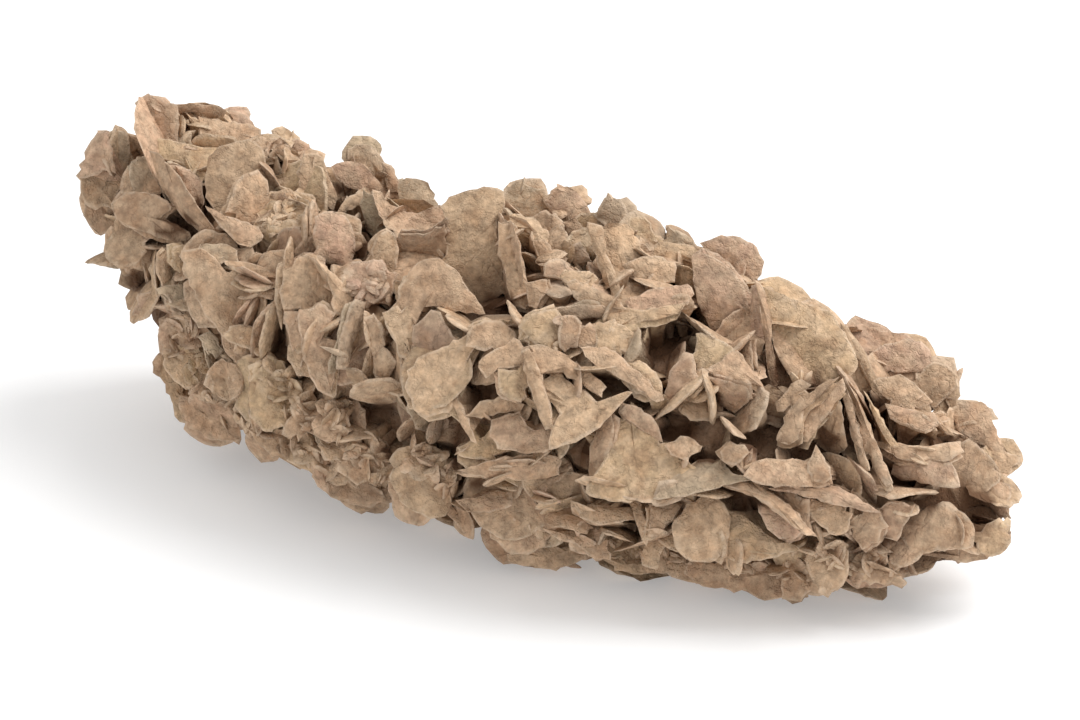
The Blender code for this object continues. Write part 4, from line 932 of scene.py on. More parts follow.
# --- Numbers that scatter the bits of the noise -------------------------------------------------------
CELL_FACTORS = (374761393, 668265263, 1442695041)
SEED_FACTOR = 974634777
SCATTER = ((13, 1274126177), (16, 2246822519))
LAST_SHIFT = 15
WORD = 0xFFFFFFFF
HALF_WORD = 2147483648.0
CUBE_CORNERS = [np.array((index & 1, index >> 1 & 1, index >> 2 & 1)) for index in range(8)]


def unit(vector):
    return vector / np.linalg.norm(vector)


def show_axes():
    """Directions of the show window: towards the viewer, right and up."""
    azimuth, elevation = math.radians(SHOW_AZIMUTH), math.radians(SHOW_ELEVATION)
    cos_a, sin_a = math.cos(azimuth), math.sin(azimuth)
    cos_e, sin_e = math.cos(elevation), math.sin(elevation)
    back = np.array((sin_a * cos_e, -cos_a * cos_e, sin_e))
    right = np.array((cos_a, sin_a, 0.0))
    return back, right, np.cross(back, right)


BACK, RIGHT, UP = show_axes()
SHOW_POINT = SHOW_AIM + BACK * SHOW_DISTANCE
KEY_PLACE = KEY_DISTANCE * (0.70 * RIGHT - 0.08 * BACK + 1.0 * Z_AXIS)


# --- Outer form and lines of sight --------------------------------------------------------------------
def form_at(x):
    """Middle y, half width, middle z and half height of the outer form at a place along X."""
    middle_y, half_width, low, high = (
        np.interp(x, OUTER_FORM[:, 0], values) for values in OUTER_FORM[:, 1:].T
    )
    return middle_y, half_width, (low + high) / 2, (high - low) / 2


def form_level(points):
    """Below 1 inside the outer form, 1 on it, above 1 outside."""
    points = np.asarray(points)
    x = points[..., 0]
    middle_y, half_width, middle_z, half_height = form_at(x)
    across = np.abs(points[..., 1] - middle_y) / half_width
    along = np.abs(points[..., 2] - middle_z) / half_height
    level = (across ** (2 / FORM_POWER) + along ** (2 / FORM_POWER)) ** (FORM_POWER / 2)
    past_end = np.maximum(np.maximum(OUTER_FORM[0, 0] - x, x - OUTER_FORM[-1, 0]), 0.0)
    return level + past_end / END_FALLOFF


def outward_at(place):
    """Direction in which the level of the outer form grows fastest."""
    return unit(form_level(place + NUDGES) - form_level(place - NUDGES))


def sight_line(across, down):
    """Points along the line of sight through a window place, the nearest to the camera first."""
    line = -BACK + RIGHT * (across - WINDOW_CENTRE[0]) / WINDOW_DEPTH
    line = line - UP * (down - WINDOW_CENTRE[1]) / WINDOW_DEPTH
    return SHOW_POINT + unit(line) * SIGHT_STEPS[:, None]


def sight_directions(corners):
    """Directions from the camera through some window places, as long as they are one metre deep."""
    lines = -BACK + np.outer(corners[:, 0] - WINDOW_CENTRE[0], RIGHT) / WINDOW_DEPTH
    return lines - np.outer(corners[:, 1] - WINDOW_CENTRE[1], UP) / WINDOW_DEPTH


def lowest_level(across, down, skip=1):
    """The lowest level on the line of sight through a window place, looked up at each skip-th point."""
    return form_level(sight_line(across, down)[::skip]).min()


def touch_point(across, down):
    """Where the line of sight through a window place first meets the outer form, or passes nearest."""
    points = sight_line(across, down)
    levels = form_level(points)
    inside = np.flatnonzero(levels < 1.0)
    return points[inside[0]] if len(inside) else points[np.argmin(levels)]


def window_place(point):
    """Where a point, or each of many, is seen in the window."""
    offset = point - SHOW_POINT
    depth = -np.dot(offset, BACK)
    across = WINDOW_CENTRE[0] + WINDOW_DEPTH * np.dot(offset, RIGHT) / depth
    down = WINDOW_CENTRE[1] - WINDOW_DEPTH * np.dot(offset, UP) / depth
    return across, down


def view_depth(point):
    return np.dot(SHOW_POINT - point, BACK)


# --- What covers what in the window -------------------------------------------------------------------
def window_net(step):
    """Across and down of a net of window places, so many pixels apart."""
    return np.meshgrid(np.arange(0, WINDOW_WIDTH + 1, step), np.arange(0, WINDOW_HEIGHT + 1, step))


def map_value(values, step, point, outside):
    """The entry of a map of the window where a point is seen."""
    across, down = window_place(point)
    row, column = int(round(down / step)), int(round(across / step))
    inside = 0 <= row < values.shape[0] and 0 <= column < values.shape[1]
    return values[row, column] if inside else outside


def in_ellipse(across, down, ellipse):
    """Is a window place in an ellipse? It is across, down, half across and half down."""
    return ((across - ellipse[0]) / ellipse[2]) ** 2 + ((down - ellipse[1]) / ellipse[3]) ** 2 < 1.0


def in_plate(across, down, row):
    """Is a window place in front of a blade of the show side?"""
    lean = math.radians(row[4])
    right, up = across - row[0], row[1] - down
    long_part = -math.sin(lean) * right + math.cos(lean) * up
    wide_part = math.cos(lean) * right + math.sin(lean) * up
    return (long_part / row[2]) ** 2 + (wide_part / row[3]) ** 2 < 1.0


def behind_show_side(point):
    """True where the outer form or a blade of the show side covers a point, seen from the camera."""
    across, down = window_place(point)
    if in_ellipse(across, down, BAY):
        return False
    if lowest_level(across, down) < COVER_LEVEL:
        return True
    return any(in_plate(across, down, row) for row in SHOW_BLADES)


def cover_map():
    """For a net of window places: is it hidden by the outer form or a show blade?"""
    acrosses, downs = window_net(COVER_STEP)
    levels = [lowest_level(across, down, SIGHT_SKIP) for across, down in zip(acrosses.flat, downs.flat)]
    covered = np.reshape(levels, acrosses.shape) < COVER_LEVEL
    for row in SHOW_BLADES:
        covered |= in_plate(acrosses, downs, row)
    return covered & ~in_ellipse(acrosses, downs, BAY)


COVERED = cover_map()


def is_covered(point):
    return map_value(COVERED, COVER_STEP, point, False)


# --- Blades of the show side --------------------------------------------------------------------------
# A blade is its centre, normal, long axis, outward direction and half length.
def blade_thickness(half_length):
    """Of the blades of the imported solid."""
    return BLADE_BASE_THICKNESS + BLADE_THICKNESS_RATIO * half_length


def lens_thickness(half_length):
    """Of the finer blades that stand in for them."""
    return LENS_THICKNESS + LENS_THICKNESS_RATIO * half_length


def show_blade(row):
    """The blade of a row of SHOW_BLADES."""
    across, down, half_long, half_wide, lean, lift = row[:6]
    surface = touch_point(across, down)
    step = view_depth(surface) / WINDOW_DEPTH
    half_length = half_long * step
    edge = EDGE_SHARE * blade_thickness(half_length) / 2 / step
    flat_width = max(half_wide - edge, THINNEST_SHARE * half_long)
    cos_tilt = min(flat_width / (BLADE_ROUNDNESS * half_long), 1.0)
    sin_tilt = math.sqrt(1.0 - cos_tilt ** 2)
    lean = math.radians(lean)
    toward = unit(SHOW_POINT - surface)
    side = math.cos(lean) * RIGHT + math.sin(lean) * UP
    normal = cos_tilt * toward + sin_tilt * side
    long_axis = -math.sin(lean) * RIGHT + math.cos(lean) * UP
    normal = unit(normal - long_axis * np.dot(normal, long_axis))
    rise = LIFT_SCALE * lift - BASE_SINK - SINK_RATIO * half_length * sin_tilt
    return surface + toward * rise, normal, long_axis, toward, half_length


def corner_pairs(numbers):
    return np.array(numbers, float).reshape(-1, 2)


def area_centre(corners):
    following = np.roll(corners, -1, axis=0)
    cross = corners[:, 0] * following[:, 1] - following[:, 0] * corners[:, 1]
    return ((corners + following) * cross[:, None]).sum(axis=0) / (3.0 * cross.sum())


def anticlockwise(outline):
    turn = np.arctan2(outline[:, 1], outline[:, 0])
    sweep = ((np.roll(turn, -1) - turn + math.pi) % (2 * math.pi) - math.pi).sum()
    return outline[::-1] if sweep < 0.0 else outline


def facet_blade(row):
    """The blade of a row of FACETS, and its outline in half lengths."""
    slope_right, slope_up, lift, numbers = row[2:]
    corners = corner_pairs(numbers)
    surface = touch_point(*area_centre(corners))
    toward = unit(SHOW_POINT - surface)
    normal = unit(toward + slope_right * RIGHT + slope_up * UP)
    centre = surface + toward * (MILLIMETRE * lift - FACET_SINK)
    long_axis = unit(UP - normal * np.dot(UP, normal))
    wide_axis = np.cross(normal, long_axis)
    lines = sight_directions(corners)
    reach = np.dot(centre - SHOW_POINT, normal) / (lines @ normal)
    offset = SHOW_POINT + lines * reach[:, None] - centre
    outline = np.stack((offset @ long_axis, offset @ wide_axis), axis=1) * FACET_SWELL
    half_length = float(np.linalg.norm(outline, axis=1).max())
    return (centre, normal, long_axis, toward, half_length), anticlockwise(outline / half_length)


def in_polygon(acrosses, downs, corners):
    """For a net of window places: is it in a polygon?"""
    inside = np.zeros(acrosses.shape, bool)
    for start, end in zip(corners, np.roll(corners, -1, axis=0)):
        if start[1] != end[1]:
            crossing = start[0] + (downs - start[1]) * (end[0] - start[0]) / (end[1] - start[1])
            inside ^= ((start[1] > downs) != (end[1] > downs)) & (acrosses < crossing)
    return inside


def plane_depth(blade, acrosses, downs):
    """Depth along the view where the lines of sight through window places meet a blade's plane."""
    centre, normal = blade[:2]
    lean = np.dot(RIGHT, normal) * (acrosses - WINDOW_CENTRE[0]) / WINDOW_DEPTH
    lean = lean - np.dot(UP, normal) * (downs - WINDOW_CENTRE[1]) / WINDOW_DEPTH
    lean = lean - np.dot(BACK, normal)
    return np.dot(centre - SHOW_POINT, normal) / lean


def face_map():
    """Depth of the nearest listed face over a net of window places, FAR where there is none."""
    acrosses, downs = window_net(FACE_STEP)
    depths = np.full(acrosses.shape, FAR)
    for row in FACETS:
        inside = in_polygon(acrosses, downs, corner_pairs(row[5]))
        depth = plane_depth(facet_blade(row)[0], acrosses, downs)
        depths = np.where(inside, np.minimum(depths, depth), depths)
    return depths


FACE_DEPTHS = face_map()


def face_depth(point):
    """Depth of the listed face that is seen where a point is, FAR where there is none."""
    return map_value(FACE_DEPTHS, FACE_STEP, point, FAR)


def hides_face(point):
    """True where a point would stand in front of a listed face."""
    return view_depth(point) < face_depth(point) + FACE_CLEARANCE < FAR


def count_hiding(points):
    return sum(hides_face(point) for point in points)


def go_under(blade, places):
    """Rim places of a listed face, moved outwards as far as nearer neighbours hide the longer plate."""
    centre, normal, long_axis, _, half_length = blade
    wide_axis = np.cross(normal, long_axis)
    moved = []
    for place in places:
        length = np.linalg.norm(place)
        for _ in range(UNDER_STEPS):
            trial = place * (1.0 + UNDER_STEP / half_length / length)
            point = centre + half_length * (trial[0] * long_axis + trial[1] * wide_axis)
            if face_depth(point) + UNDER_CLEARANCE > view_depth(point):
                break
            place = trial
        moved.append(place)
    return np.array(moved)


def rim_outline(blade):
    """Points around the rim of a blade that isn't listed, as if it were round."""
    centre, normal, long_axis, _, half_length = blade
    wide_axis = np.cross(normal, long_axis)
    turns = [2 * math.pi * index / OUTLINE_POINTS for index in range(OUTLINE_POINTS)]
    return [
        centre + half_length * (math.cos(turn) * long_axis + math.sin(turn) * wide_axis)
        for turn in turns
    ]


def moved_back(blade):
    """A blade moved away from the camera until it leaves the listed faces in sight, or None."""
    for step in range(BACK_STEPS):
        centre = blade[0] - step * BACK_STEP * blade[3]
        moved = (centre, *blade[1:])
        if count_hiding(rim_outline(moved) + [centre]) <= PLATE_POINTS_HIDING:
            return moved
    return None


def in_deep_gap(row):
    return any(in_ellipse(row[0], row[1], gap) for gap in DEEP_GAPS)


# --- Blades by rule -----------------------------------------------------------------------------------
def resting_blades():
    """The blades under the rose that it rests on."""
    blades = []
    for x, y, half_length, turn, tilt in RESTING_BLADES:
        turn, tilt = math.radians(turn), math.radians(tilt)
        long_axis = np.array((math.cos(turn), math.sin(turn), 0.0))
        level_axis = np.array((-math.sin(turn), math.cos(turn), 0.0))
        normal = math.sin(tilt) * level_axis - math.cos(tilt) * Z_AXIS
        height = BLADE_ROUNDNESS * half_length * math.sin(tilt) - TRIMMED_DEPTH
        centre = np.array((x, y, height))
        blades.append((centre, normal, long_axis, DOWNWARDS, half_length))
    return blades


def surface_place(generator):
    """A place on the outer form and the outward direction there, at the ends as well."""
    x = generator.uniform(OUTER_FORM[0, 0], OUTER_FORM[-1, 0])
    spine_x = min(max(x, SPINE_START), SPINE_END)
    end_room = OUTER_FORM[-1, 0] - SPINE_END if x > spine_x else SPINE_START - OUTER_FORM[0, 0]
    end_turn = (x - spine_x) / end_room * math.pi / 2
    turn = generator.uniform(0.0, 2 * math.pi)
    across = math.cos(end_turn)
    direction = np.array((math.sin(end_turn), across * math.cos(turn), across * math.sin(turn)))
    middle_y, _, middle_z, _ = form_at(spine_x)
    points = np.array((spine_x, middle_y, middle_z)) + direction * SPINE_REACHES
    place = points[np.argmax(form_level(points) >= 1.0)]
    return place, outward_at(place)


def leaning_blade(place, outward, radius, tilt, spin, sink):
    """A blade that stands on a place of the surface, tilt away from lying flat on it."""
    helper = (0.0, 0.0, 1.0) if abs(outward[2]) < NEARLY_UPRIGHT else (1.0, 0.0, 0.0)
    along = unit(np.cross(outward, helper))
    beside = np.cross(outward, along)
    lean = math.cos(spin) * along + math.sin(spin) * beside
    normal = math.cos(tilt) * outward + math.sin(tilt) * lean
    long_axis = unit(np.cross(normal, outward))
    return place - outward * sink, normal, long_axis, outward, radius


def grown_blades(generator):
    """Large blades of the other sides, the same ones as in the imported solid."""
    blades = []
    places = []
    tries = 0
    while len(blades) < GROWN_COUNT and tries < GROWN_TRIES:
        tries += 1
        place, outward = surface_place(generator)
        if np.dot(outward, BACK) > SHOW_LIMIT:
            continue
        if any(np.linalg.norm(place - other) < GROWN_SPACING for other in places):
            continue
        radius = generator.uniform(*GROWN_RADIUS)
        tilt = math.radians(generator.uniform(*GROWN_TILT))
        spin = generator.uniform(0.0, 2 * math.pi)
        sink = GROWN_BASE_SINK + radius * GROWN_EDGE_SINK * math.sin(tilt) ** 2
        blade = leaning_blade(place, outward, radius, tilt, spin, sink)
        if all(behind_show_side(point) for point in rim_outline(blade)):
            places.append(place)
            blades.append(blade)
    return blades


def too_near(place, places, spacing):
    return bool(places) and (np.sum((np.array(places) - place) ** 2, axis=1) < spacing ** 2).any()


def undergrowth_blades():
    """Smaller blades by rule, between the grown ones."""
    generator = random.Random(LOOK_SEED)
    blades = []
    for count, spacing, smallest, largest, top, deepest in UNDERGROWTH:
        places = []
        for _ in range(UNDERGROWTH_TRIES):
            place, outward = surface_place(generator)
            radius = generator.uniform(smallest, largest)
            tilt = math.radians(generator.uniform(*GROWN_TILT))
            spin = generator.uniform(0.0, 2 * math.pi)
            sink = generator.uniform(top, deepest) + UNDERGROWTH_SINK * radius * math.sin(tilt)
            if np.dot(outward, BACK) > UNDERGROWTH_LIMIT or too_near(place, places, spacing):
                continue
            blade = leaning_blade(place, outward, radius, tilt, spin, sink)
            if all(is_covered(point) for point in rim_outline(blade)):
                places.append(place)
                blades.append(blade)
            if len(places) == count:
                break
    return blades


def fills_gap(blade):
    """True where a blade would show in a deep gap."""
    centre, points = blade[0], rim_outline(blade)
    places = [window_place(centre + (point - centre) * share) for point in points for share in (1.0, 0.5)]
    places.append(window_place(centre))
    return any(in_ellipse(*place, gap) for place in places for gap in DEEP_GAPS + [SEE_THROUGH])


def filler_fits(blade):
    """True where a filler shows neither outside the rose, nor in a gap, nor before a listed face."""
    points = rim_outline(blade)
    if not all(is_covered(point) for point in points[::2]) or fills_gap(blade):
        return False
    return count_hiding(points + [blade[0]]) == 0


def filler_blades():
    """Blades between and under the large ones of the show side."""
    generator = random.Random(LOOK_SEED + 1)
    blades = []
    for count, spacing, smallest, largest, top, deepest, flattest, steepest in FILLERS:
        places = []
        for _ in range(FILLER_TRIES):
            across = generator.uniform(*FILLER_ACROSS)
            down = generator.uniform(*FILLER_DOWN)
            radius = generator.uniform(smallest, largest)
            tilt = math.radians(generator.uniform(flattest, steepest))
            spin = generator.uniform(0.0, 2 * math.pi)
            sink = generator.uniform(top, deepest) + FILLER_SINK * radius * math.sin(tilt)
            if lowest_level(across, down) > FILLER_LEVEL:
                continue
            place = touch_point(across, down)
            if too_near(place, places, spacing):
                continue
            outward = unit(outward_at(place) + unit(SHOW_POINT - place))
            blade = leaning_blade(place, outward, radius, tilt, spin, sink)
            if filler_fits(blade):
                blades.append(blade)
                places.append(place)
            if len(places) == count:
                break
    return blades


# --- Noise --------------------------------------------------------------------------------------------
def lattice_value(cell, seed):
    """A value from -1 to 1 for each whole-number cell."""
    mixed = sum(cell[:, axis] * factor for axis, factor in enumerate(CELL_FACTORS))
    mixed = (mixed + seed * SEED_FACTOR) & WORD
    for shift, factor in SCATTER:
        mixed = ((mixed ^ (mixed >> shift)) * factor) & WORD
    return (mixed ^ (mixed >> LAST_SHIFT)) / HALF_WORD - 1.0


def smooth_noise(points, size, seed):
    """Soft noise from -1 to 1 whose bumps are about size apart."""
    scaled = points / size
    cell = np.floor(scaled).astype(np.int64)
    part = scaled - cell
    part = part * part * (3.0 - 2.0 * part)
    total = np.zeros(len(points))
    for corner in CUBE_CORNERS:
        weight = np.prod(np.where(corner, part, 1.0 - part), axis=1)
        total += weight * lattice_value(cell + corner, seed)
    return total


# --- Outlines of blades -------------------------------------------------------------------------------
def wear(angles, reach, generator, rough):
    """The reaches of a rim with waves, grain and a few bites."""
    plain, added = RIM_WAVE_DEPTH
    for waves in RIM_WAVES:
        reach += generator.normal(0.0, plain + added * rough) * np.cos(
            waves * angles + generator.uniform(0, 2 * math.pi))
    plain, added = RIM_GRAIN_DEPTH
    reach += generator.normal(0.0, plain + added * rough, len(angles))
    for _ in range(generator.integers(*BITE_COUNT)):
        away = (angles - generator.uniform(0, 2 * math.pi) + math.pi) % (2 * math.pi) - math.pi
        reach -= generator.uniform(*BITE_DEPTH) * np.exp(-(away / generator.uniform(*BITE_WIDTH)) ** 2)
    return np.clip(reach * OUTLINE_SWELL, *OUTLINE_LIMITS)


def angular_outline(spokes, generator, rough):
    """Angles and reaches of a rim of convex sides that meet in blunt corners, with chips and bites."""
    corners = int(generator.integers(*CORNER_COUNT))
    shifts = generator.uniform(-CORNER_SHIFT, CORNER_SHIFT, corners)
    turns = (np.arange(corners) + shifts) / corners * 2 * math.pi
    tips = generator.uniform(*CORNER_REACH, corners)
    tips[0] = tips[corners // 2] = generator.uniform(*TIP_REACH)
    angles, reach = [], []
    for side in range(corners):
        following = (side + 1) % corners
        sweep = (turns[following] - turns[side]) % (2 * math.pi)
        count = max(int(round(spokes * sweep / (2 * math.pi))), 2)
        part = np.arange(count) / count
        first, last = tips[side], tips[following]
        chord = first * last * math.sin(sweep) / (
            first * np.sin(part * sweep) + last * np.sin((1 - part) * sweep))
        arc = first + (last - first) * part
        rounding = generator.uniform(*SIDE_ROUNDING)
        angles.append(turns[side] + part * sweep)
        reach.append(chord * (1 - rounding) + arc * rounding)
    angles, reach = np.concatenate(angles), np.concatenate(reach)
    return angles, wear(angles, reach, generator, rough)


def facet_outline(outline, blade, generator, rough):
    """Angles and reaches of a rim along a listed outline, its sides slightly bulged and uneven."""
    half_length = blade[4]
    found = []
    for start, end in zip(outline, np.roll(outline, -1, axis=0)):
        side = end - start
        length = np.linalg.norm(side)
        count = max(int(round(length * half_length / SPOKE_LENGTH)), 1)
        part = np.arange(count)[:, None] / count
        outward = np.array((side[1], -side[0]))
        found.append(start + side * part + outward * 4.0 * FACET_SIDE_BULGE * part * (1.0 - part))
    found = np.concatenate(found)
    jitter = FACET_JITTER * (FACET_JITTER_BASE + rough) / half_length
    found += generator.normal(0.0, jitter, found.shape)
    found = go_under(blade, found)
    x, y = found[:, 0], found[:, 1] / BLADE_ROUNDNESS
    return np.arctan2(y, x), np.hypot(x, y)


# --- Blade meshes -------------------------------------------------------------------------------------
FACE_CACHE = {}


def lens_faces(spokes, rings):
    """Faces of a closed lens: one rim ring, then rings inwards and a crown point on each side."""
    if (spokes, rings) in FACE_CACHE:
        return FACE_CACHE[spokes, rings]
    around = np.arange(spokes)
    beside = (around + 1) % spokes
    front = [around + ring * spokes for ring in range(rings)]
    front_crown = rings * spokes
    rear = [around] + [front_crown + 1 + around + ring * spokes for ring in range(rings - 1)]
    rear_crown = front_crown + 1 + (rings - 1) * spokes
    faces = []
    for outer, inner in zip(front, front[1:]):
        faces += np.stack((outer, outer[beside], inner[beside], inner), axis=1).tolist()
    faces += [(int(front[-1][i]), int(front[-1][j]), front_crown) for i, j in zip(around, beside)]
    for outer, inner in zip(rear, rear[1:]):
        faces += np.stack((inner, inner[beside], outer[beside], outer), axis=1).tolist()
    faces += [(int(rear[-1][j]), int(rear[-1][i]), rear_crown) for i, j in zip(around, beside)]
    FACE_CACHE[spokes, rings] = faces
    return faces


def lens_layout(spokes, radii):
    """Spoke, radius and side of each point: the rings and crown of the front, then of the rear."""
    inner = radii[1:]
    around = np.arange(spokes)
    spoke = np.concatenate((np.tile(around, len(radii)), (0,), np.tile(around, len(inner)), (0,)))
    radius = np.concatenate((np.repeat(radii, spokes), (0.0,), np.repeat(inner, spokes), (0.0,)))
    one_side = np.ones(spokes * len(inner) + 1)
    return spoke, radius, np.concatenate((np.zeros(spokes), one_side, -one_side))


def core_holds(point):
    in_length = CORE_START + CORE_ROOM < point[0] < CORE_END - CORE_ROOM
    return in_length and form_level(point) < ROOT_LEVEL


def root_point(centre, normal, half_thickness):
    """The point behind a blade, inside the core, that its rear face tapers to."""
    aim_x = np.clip(centre[0], OUTER_FORM[2, 0], OUTER_FORM[-3, 0])
    middle_y, _, middle_z, _ = form_at(aim_x)
    inward = unit(np.array((aim_x, middle_y, middle_z)) - centre)
    depth = 0.0
    while not core_holds(centre + inward * depth) and depth < ROOT_LONGEST:
        depth += ROOT_STEP
    point = centre + inward * depth
    behind = np.dot(point - centre, normal)
    if behind > -half_thickness:
        point = point - normal * (behind + half_thickness)
    return point


def lens_points(blade, outline, rough, index, generator):
    """Points of a fine blade, how far each is from the rim, and the numbers of spokes and rings."""
    centre, normal, long_axis, outward, half_length = blade
    wide_axis = np.cross(normal, long_axis)
    radii = np.array(next(rings for size, rings in RING_SETS if half_length >= size))
    half_thickness = lens_thickness(half_length) / 2
    if outline is None:
        spokes = int(np.clip(round(2 * math.pi * half_length / SPOKE_LENGTH), *SPOKE_LIMITS))
        angles, reach = angular_outline(spokes, generator, rough)
        rim, fullness, warp_share = RIM_HALF_THICKNESS, LENS_FULLNESS, 1.0
        stretch = max(min(INNER_REACH, INNER_LIMIT / half_length - 1.0), 0.0)
    else:
        angles, reach = facet_outline(outline, blade, generator, rough)
        rim, fullness, warp_share = FACET_RIM, FACET_FULLNESS, FACET_WARP
        half_thickness *= FACET_CROWN
        stretch = 0.0
    bend, cup, twist = generator.normal(0.0, WARP) * half_length
    step_at = generator.uniform(*STEP_PLACE)
    step_depth = generator.uniform(*STEP_DEPTH) * half_thickness * (generator.random() < STEP_SHARE)

    spoke, radius, side = lens_layout(len(angles), radii)
    spread = radius * (1.0 + (reach[spoke] - 1.0) * (radius if outline is None else 1.0))
    x = spread * np.cos(angles[spoke])
    y = spread * np.sin(angles[spoke]) * BLADE_ROUNDNESS
    bulge = half_thickness * (1.0 - radius ** 2) ** fullness
    stepped = (radius > step_at) & (bulge > step_depth)
    height = side * (bulge + rim - step_depth * stepped)
    height += (bend * x * x + cup * y * y + twist * x * y) * warp_share
    spots = np.stack((x, y, side), axis=1) + index * DENT_SHIFT
    height += DENT_DEPTH * half_thickness * smooth_noise(spots, DENT_SIZE, DENT_SEED)
    offset = half_length * (x[:, None] * long_axis + y[:, None] * wide_axis)
    inwards = np.maximum(-(offset @ outward) / half_length, 0.0)
    offset = offset * (1.0 + stretch * inwards)[:, None]
    points = centre + offset + height[:, None] * normal
    if half_length >= SMALLEST_ROOTED and np.dot(normal, outward) > ROOTED_FACING:
        root = root_point(centre, normal, half_thickness) - centre + normal * half_thickness
        share = np.maximum(1.0 - radius / ROOT_SPREAD, 0.0) ** ROOT_POWER * (side < 0)
        points = points + share[:, None] * root
    return points, (1.0 - radius) * reach[spoke] * half_length, len(angles), len(radii)


def lens_mesh(name, blade, index, rough, tone, outline=None):
    """A fine blade: a thin lens with an irregular rim, a slight warp and a growth step."""
    generator = np.random.default_rng((LOOK_SEED, index))
    points, rim_distance, spokes, rings = lens_points(blade, outline, rough, index, generator)
    mesh = bpy.data.meshes.new(name)
    mesh.from_pydata(points.tolist(), [], lens_faces(spokes, rings))
    tint = np.array(TONES[tone]) * generator.normal(1.0, TINT_SPREAD) * generator.normal(1.0, HUE_SPREAD, 3)
    set_looks(mesh, tint, rough, rim_distance)
    return bpy.data.objects.new(name, mesh)


# --- Values on meshes ---------------------------------------------------------------------------------
def read_values(source, name, kind, width=1):
    values = np.empty(len(source) * width, kind)
    source.foreach_get(name, values)
    return values


def read_vectors(source, name):
    return read_values(source, name, np.float32, 3).reshape(-1, 3).astype(float)


def add_values(mesh, name, domain, values):
    layer = mesh.attributes.new(name, "FLOAT", domain)
    layer.data.foreach_set("value", np.asarray(values, np.float32))


def set_looks(mesh, tint, grit, reach):
    """Values that the material reads: colour and grit for each face, distance from the rim for each
    corner. A union keeps face and corner values, and loses those of points."""
    faces = len(mesh.polygons)
    colour = np.append(np.clip(tint, *TINT_LIMITS), 1.0).astype(np.float32)
    mesh.attributes.new("tint", "FLOAT_COLOR", "FACE").data.foreach_set("color", np.tile(colour, faces))
    add_values(mesh, "grit", "FACE", np.full(faces, grit))
    point = read_values(mesh.loops, "vertex_index", np.int32)
    add_values(mesh, "reach", "CORNER", reach[point])


def set_plain_looks(mesh, tone):
    """The same for a surface without a rim, rough all over."""
    set_looks(mesh, np.array(TONES[tone]), 1.0, np.full(len(mesh.vertices), FAR_FROM_RIM))


def roughen(mesh):
    """Sand grain and pitting in the surface itself, strongest on the rough blades."""
    count = len(mesh.vertices)
    points = read_vectors(mesh.vertices, "co")
    normals = read_vectors(mesh.vertex_normals, "vector")
    face_grit = read_values(mesh.attributes["grit"].data, "value", np.float32)
    corner_point = read_values(mesh.loops, "vertex_index", np.int32)
    face_size = read_values(mesh.polygons, "loop_total", np.int32)
    grit = np.bincount(corner_point, np.repeat(face_grit, face_size), count)
    grit /= np.maximum(np.bincount(corner_point, minlength=count), 1)
    shift = np.zeros(count)
    for size, depth, seed in GRIT_WAVES:
        shift += depth * smooth_noise(points, size, seed)
    shift *= GRIT_BASE + GRIT_GAIN * grit ** GRIT_POWER
    size, depth, seed = SWELL_WAVE
    shift += depth * smooth_noise(points, size, seed)
    points += normals * shift[:, None]
    points[:, 2] = np.maximum(points[:, 2], 0.0)
    mesh.vertices.foreach_set("co", points.astype(np.float32).ravel())
    mesh.update()


def paint_recess_shade(mesh):
    """"inside" is painted shade: from 0 near the outer form to 1 deep between the blades and in the deep
    gaps.
    """
    points = read_vectors(mesh.vertices, "co")
    level = form_level(points)
    values = np.clip((PAINTED_RECESS_SHADE_FROM - level) / PAINTED_RECESS_SHADE_RANGE, 0.0, 1.0)
    across, down = window_place(points)
    for gap in DEEP_GAPS:
        away = np.hypot((across - gap[0]) / gap[2], (down - gap[1]) / gap[3])
        values = np.maximum(values, np.clip((PAINTED_GAP_SHADE_EDGE - away) / PAINTED_GAP_SHADE_FADE, 0.0, 1.0) * (level < PAINTED_GAP_SHADE_LEVEL))
    add_values(mesh, "inside", "POINT", values)


def mark_edges(mesh):
    """"ridge" is above 0 on ridges and rims and below 0 in creases."""
    points = read_vectors(mesh.vertices, "co")
    normals = read_vectors(mesh.vertex_normals, "vector")
    first, second = read_values(mesh.edges, "vertices", np.int32, 2).reshape(-1, 2).T
    along = points[second] - points[first]
    along /= np.maximum(np.linalg.norm(along, axis=1), SHORTEST_EDGE)[:, None]
    total = np.zeros(len(points))
    number = np.zeros(len(points))
    for corner, sign in ((first, -1.0), (second, 1.0)):
        np.add.at(total, corner, sign * np.sum(along * normals[corner], axis=1))
        np.add.at(number, corner, 1.0)
    add_values(mesh, "ridge", "POINT", np.clip(RIDGE_GAIN * total / np.maximum(number, 1.0), -1.0, 1.0))


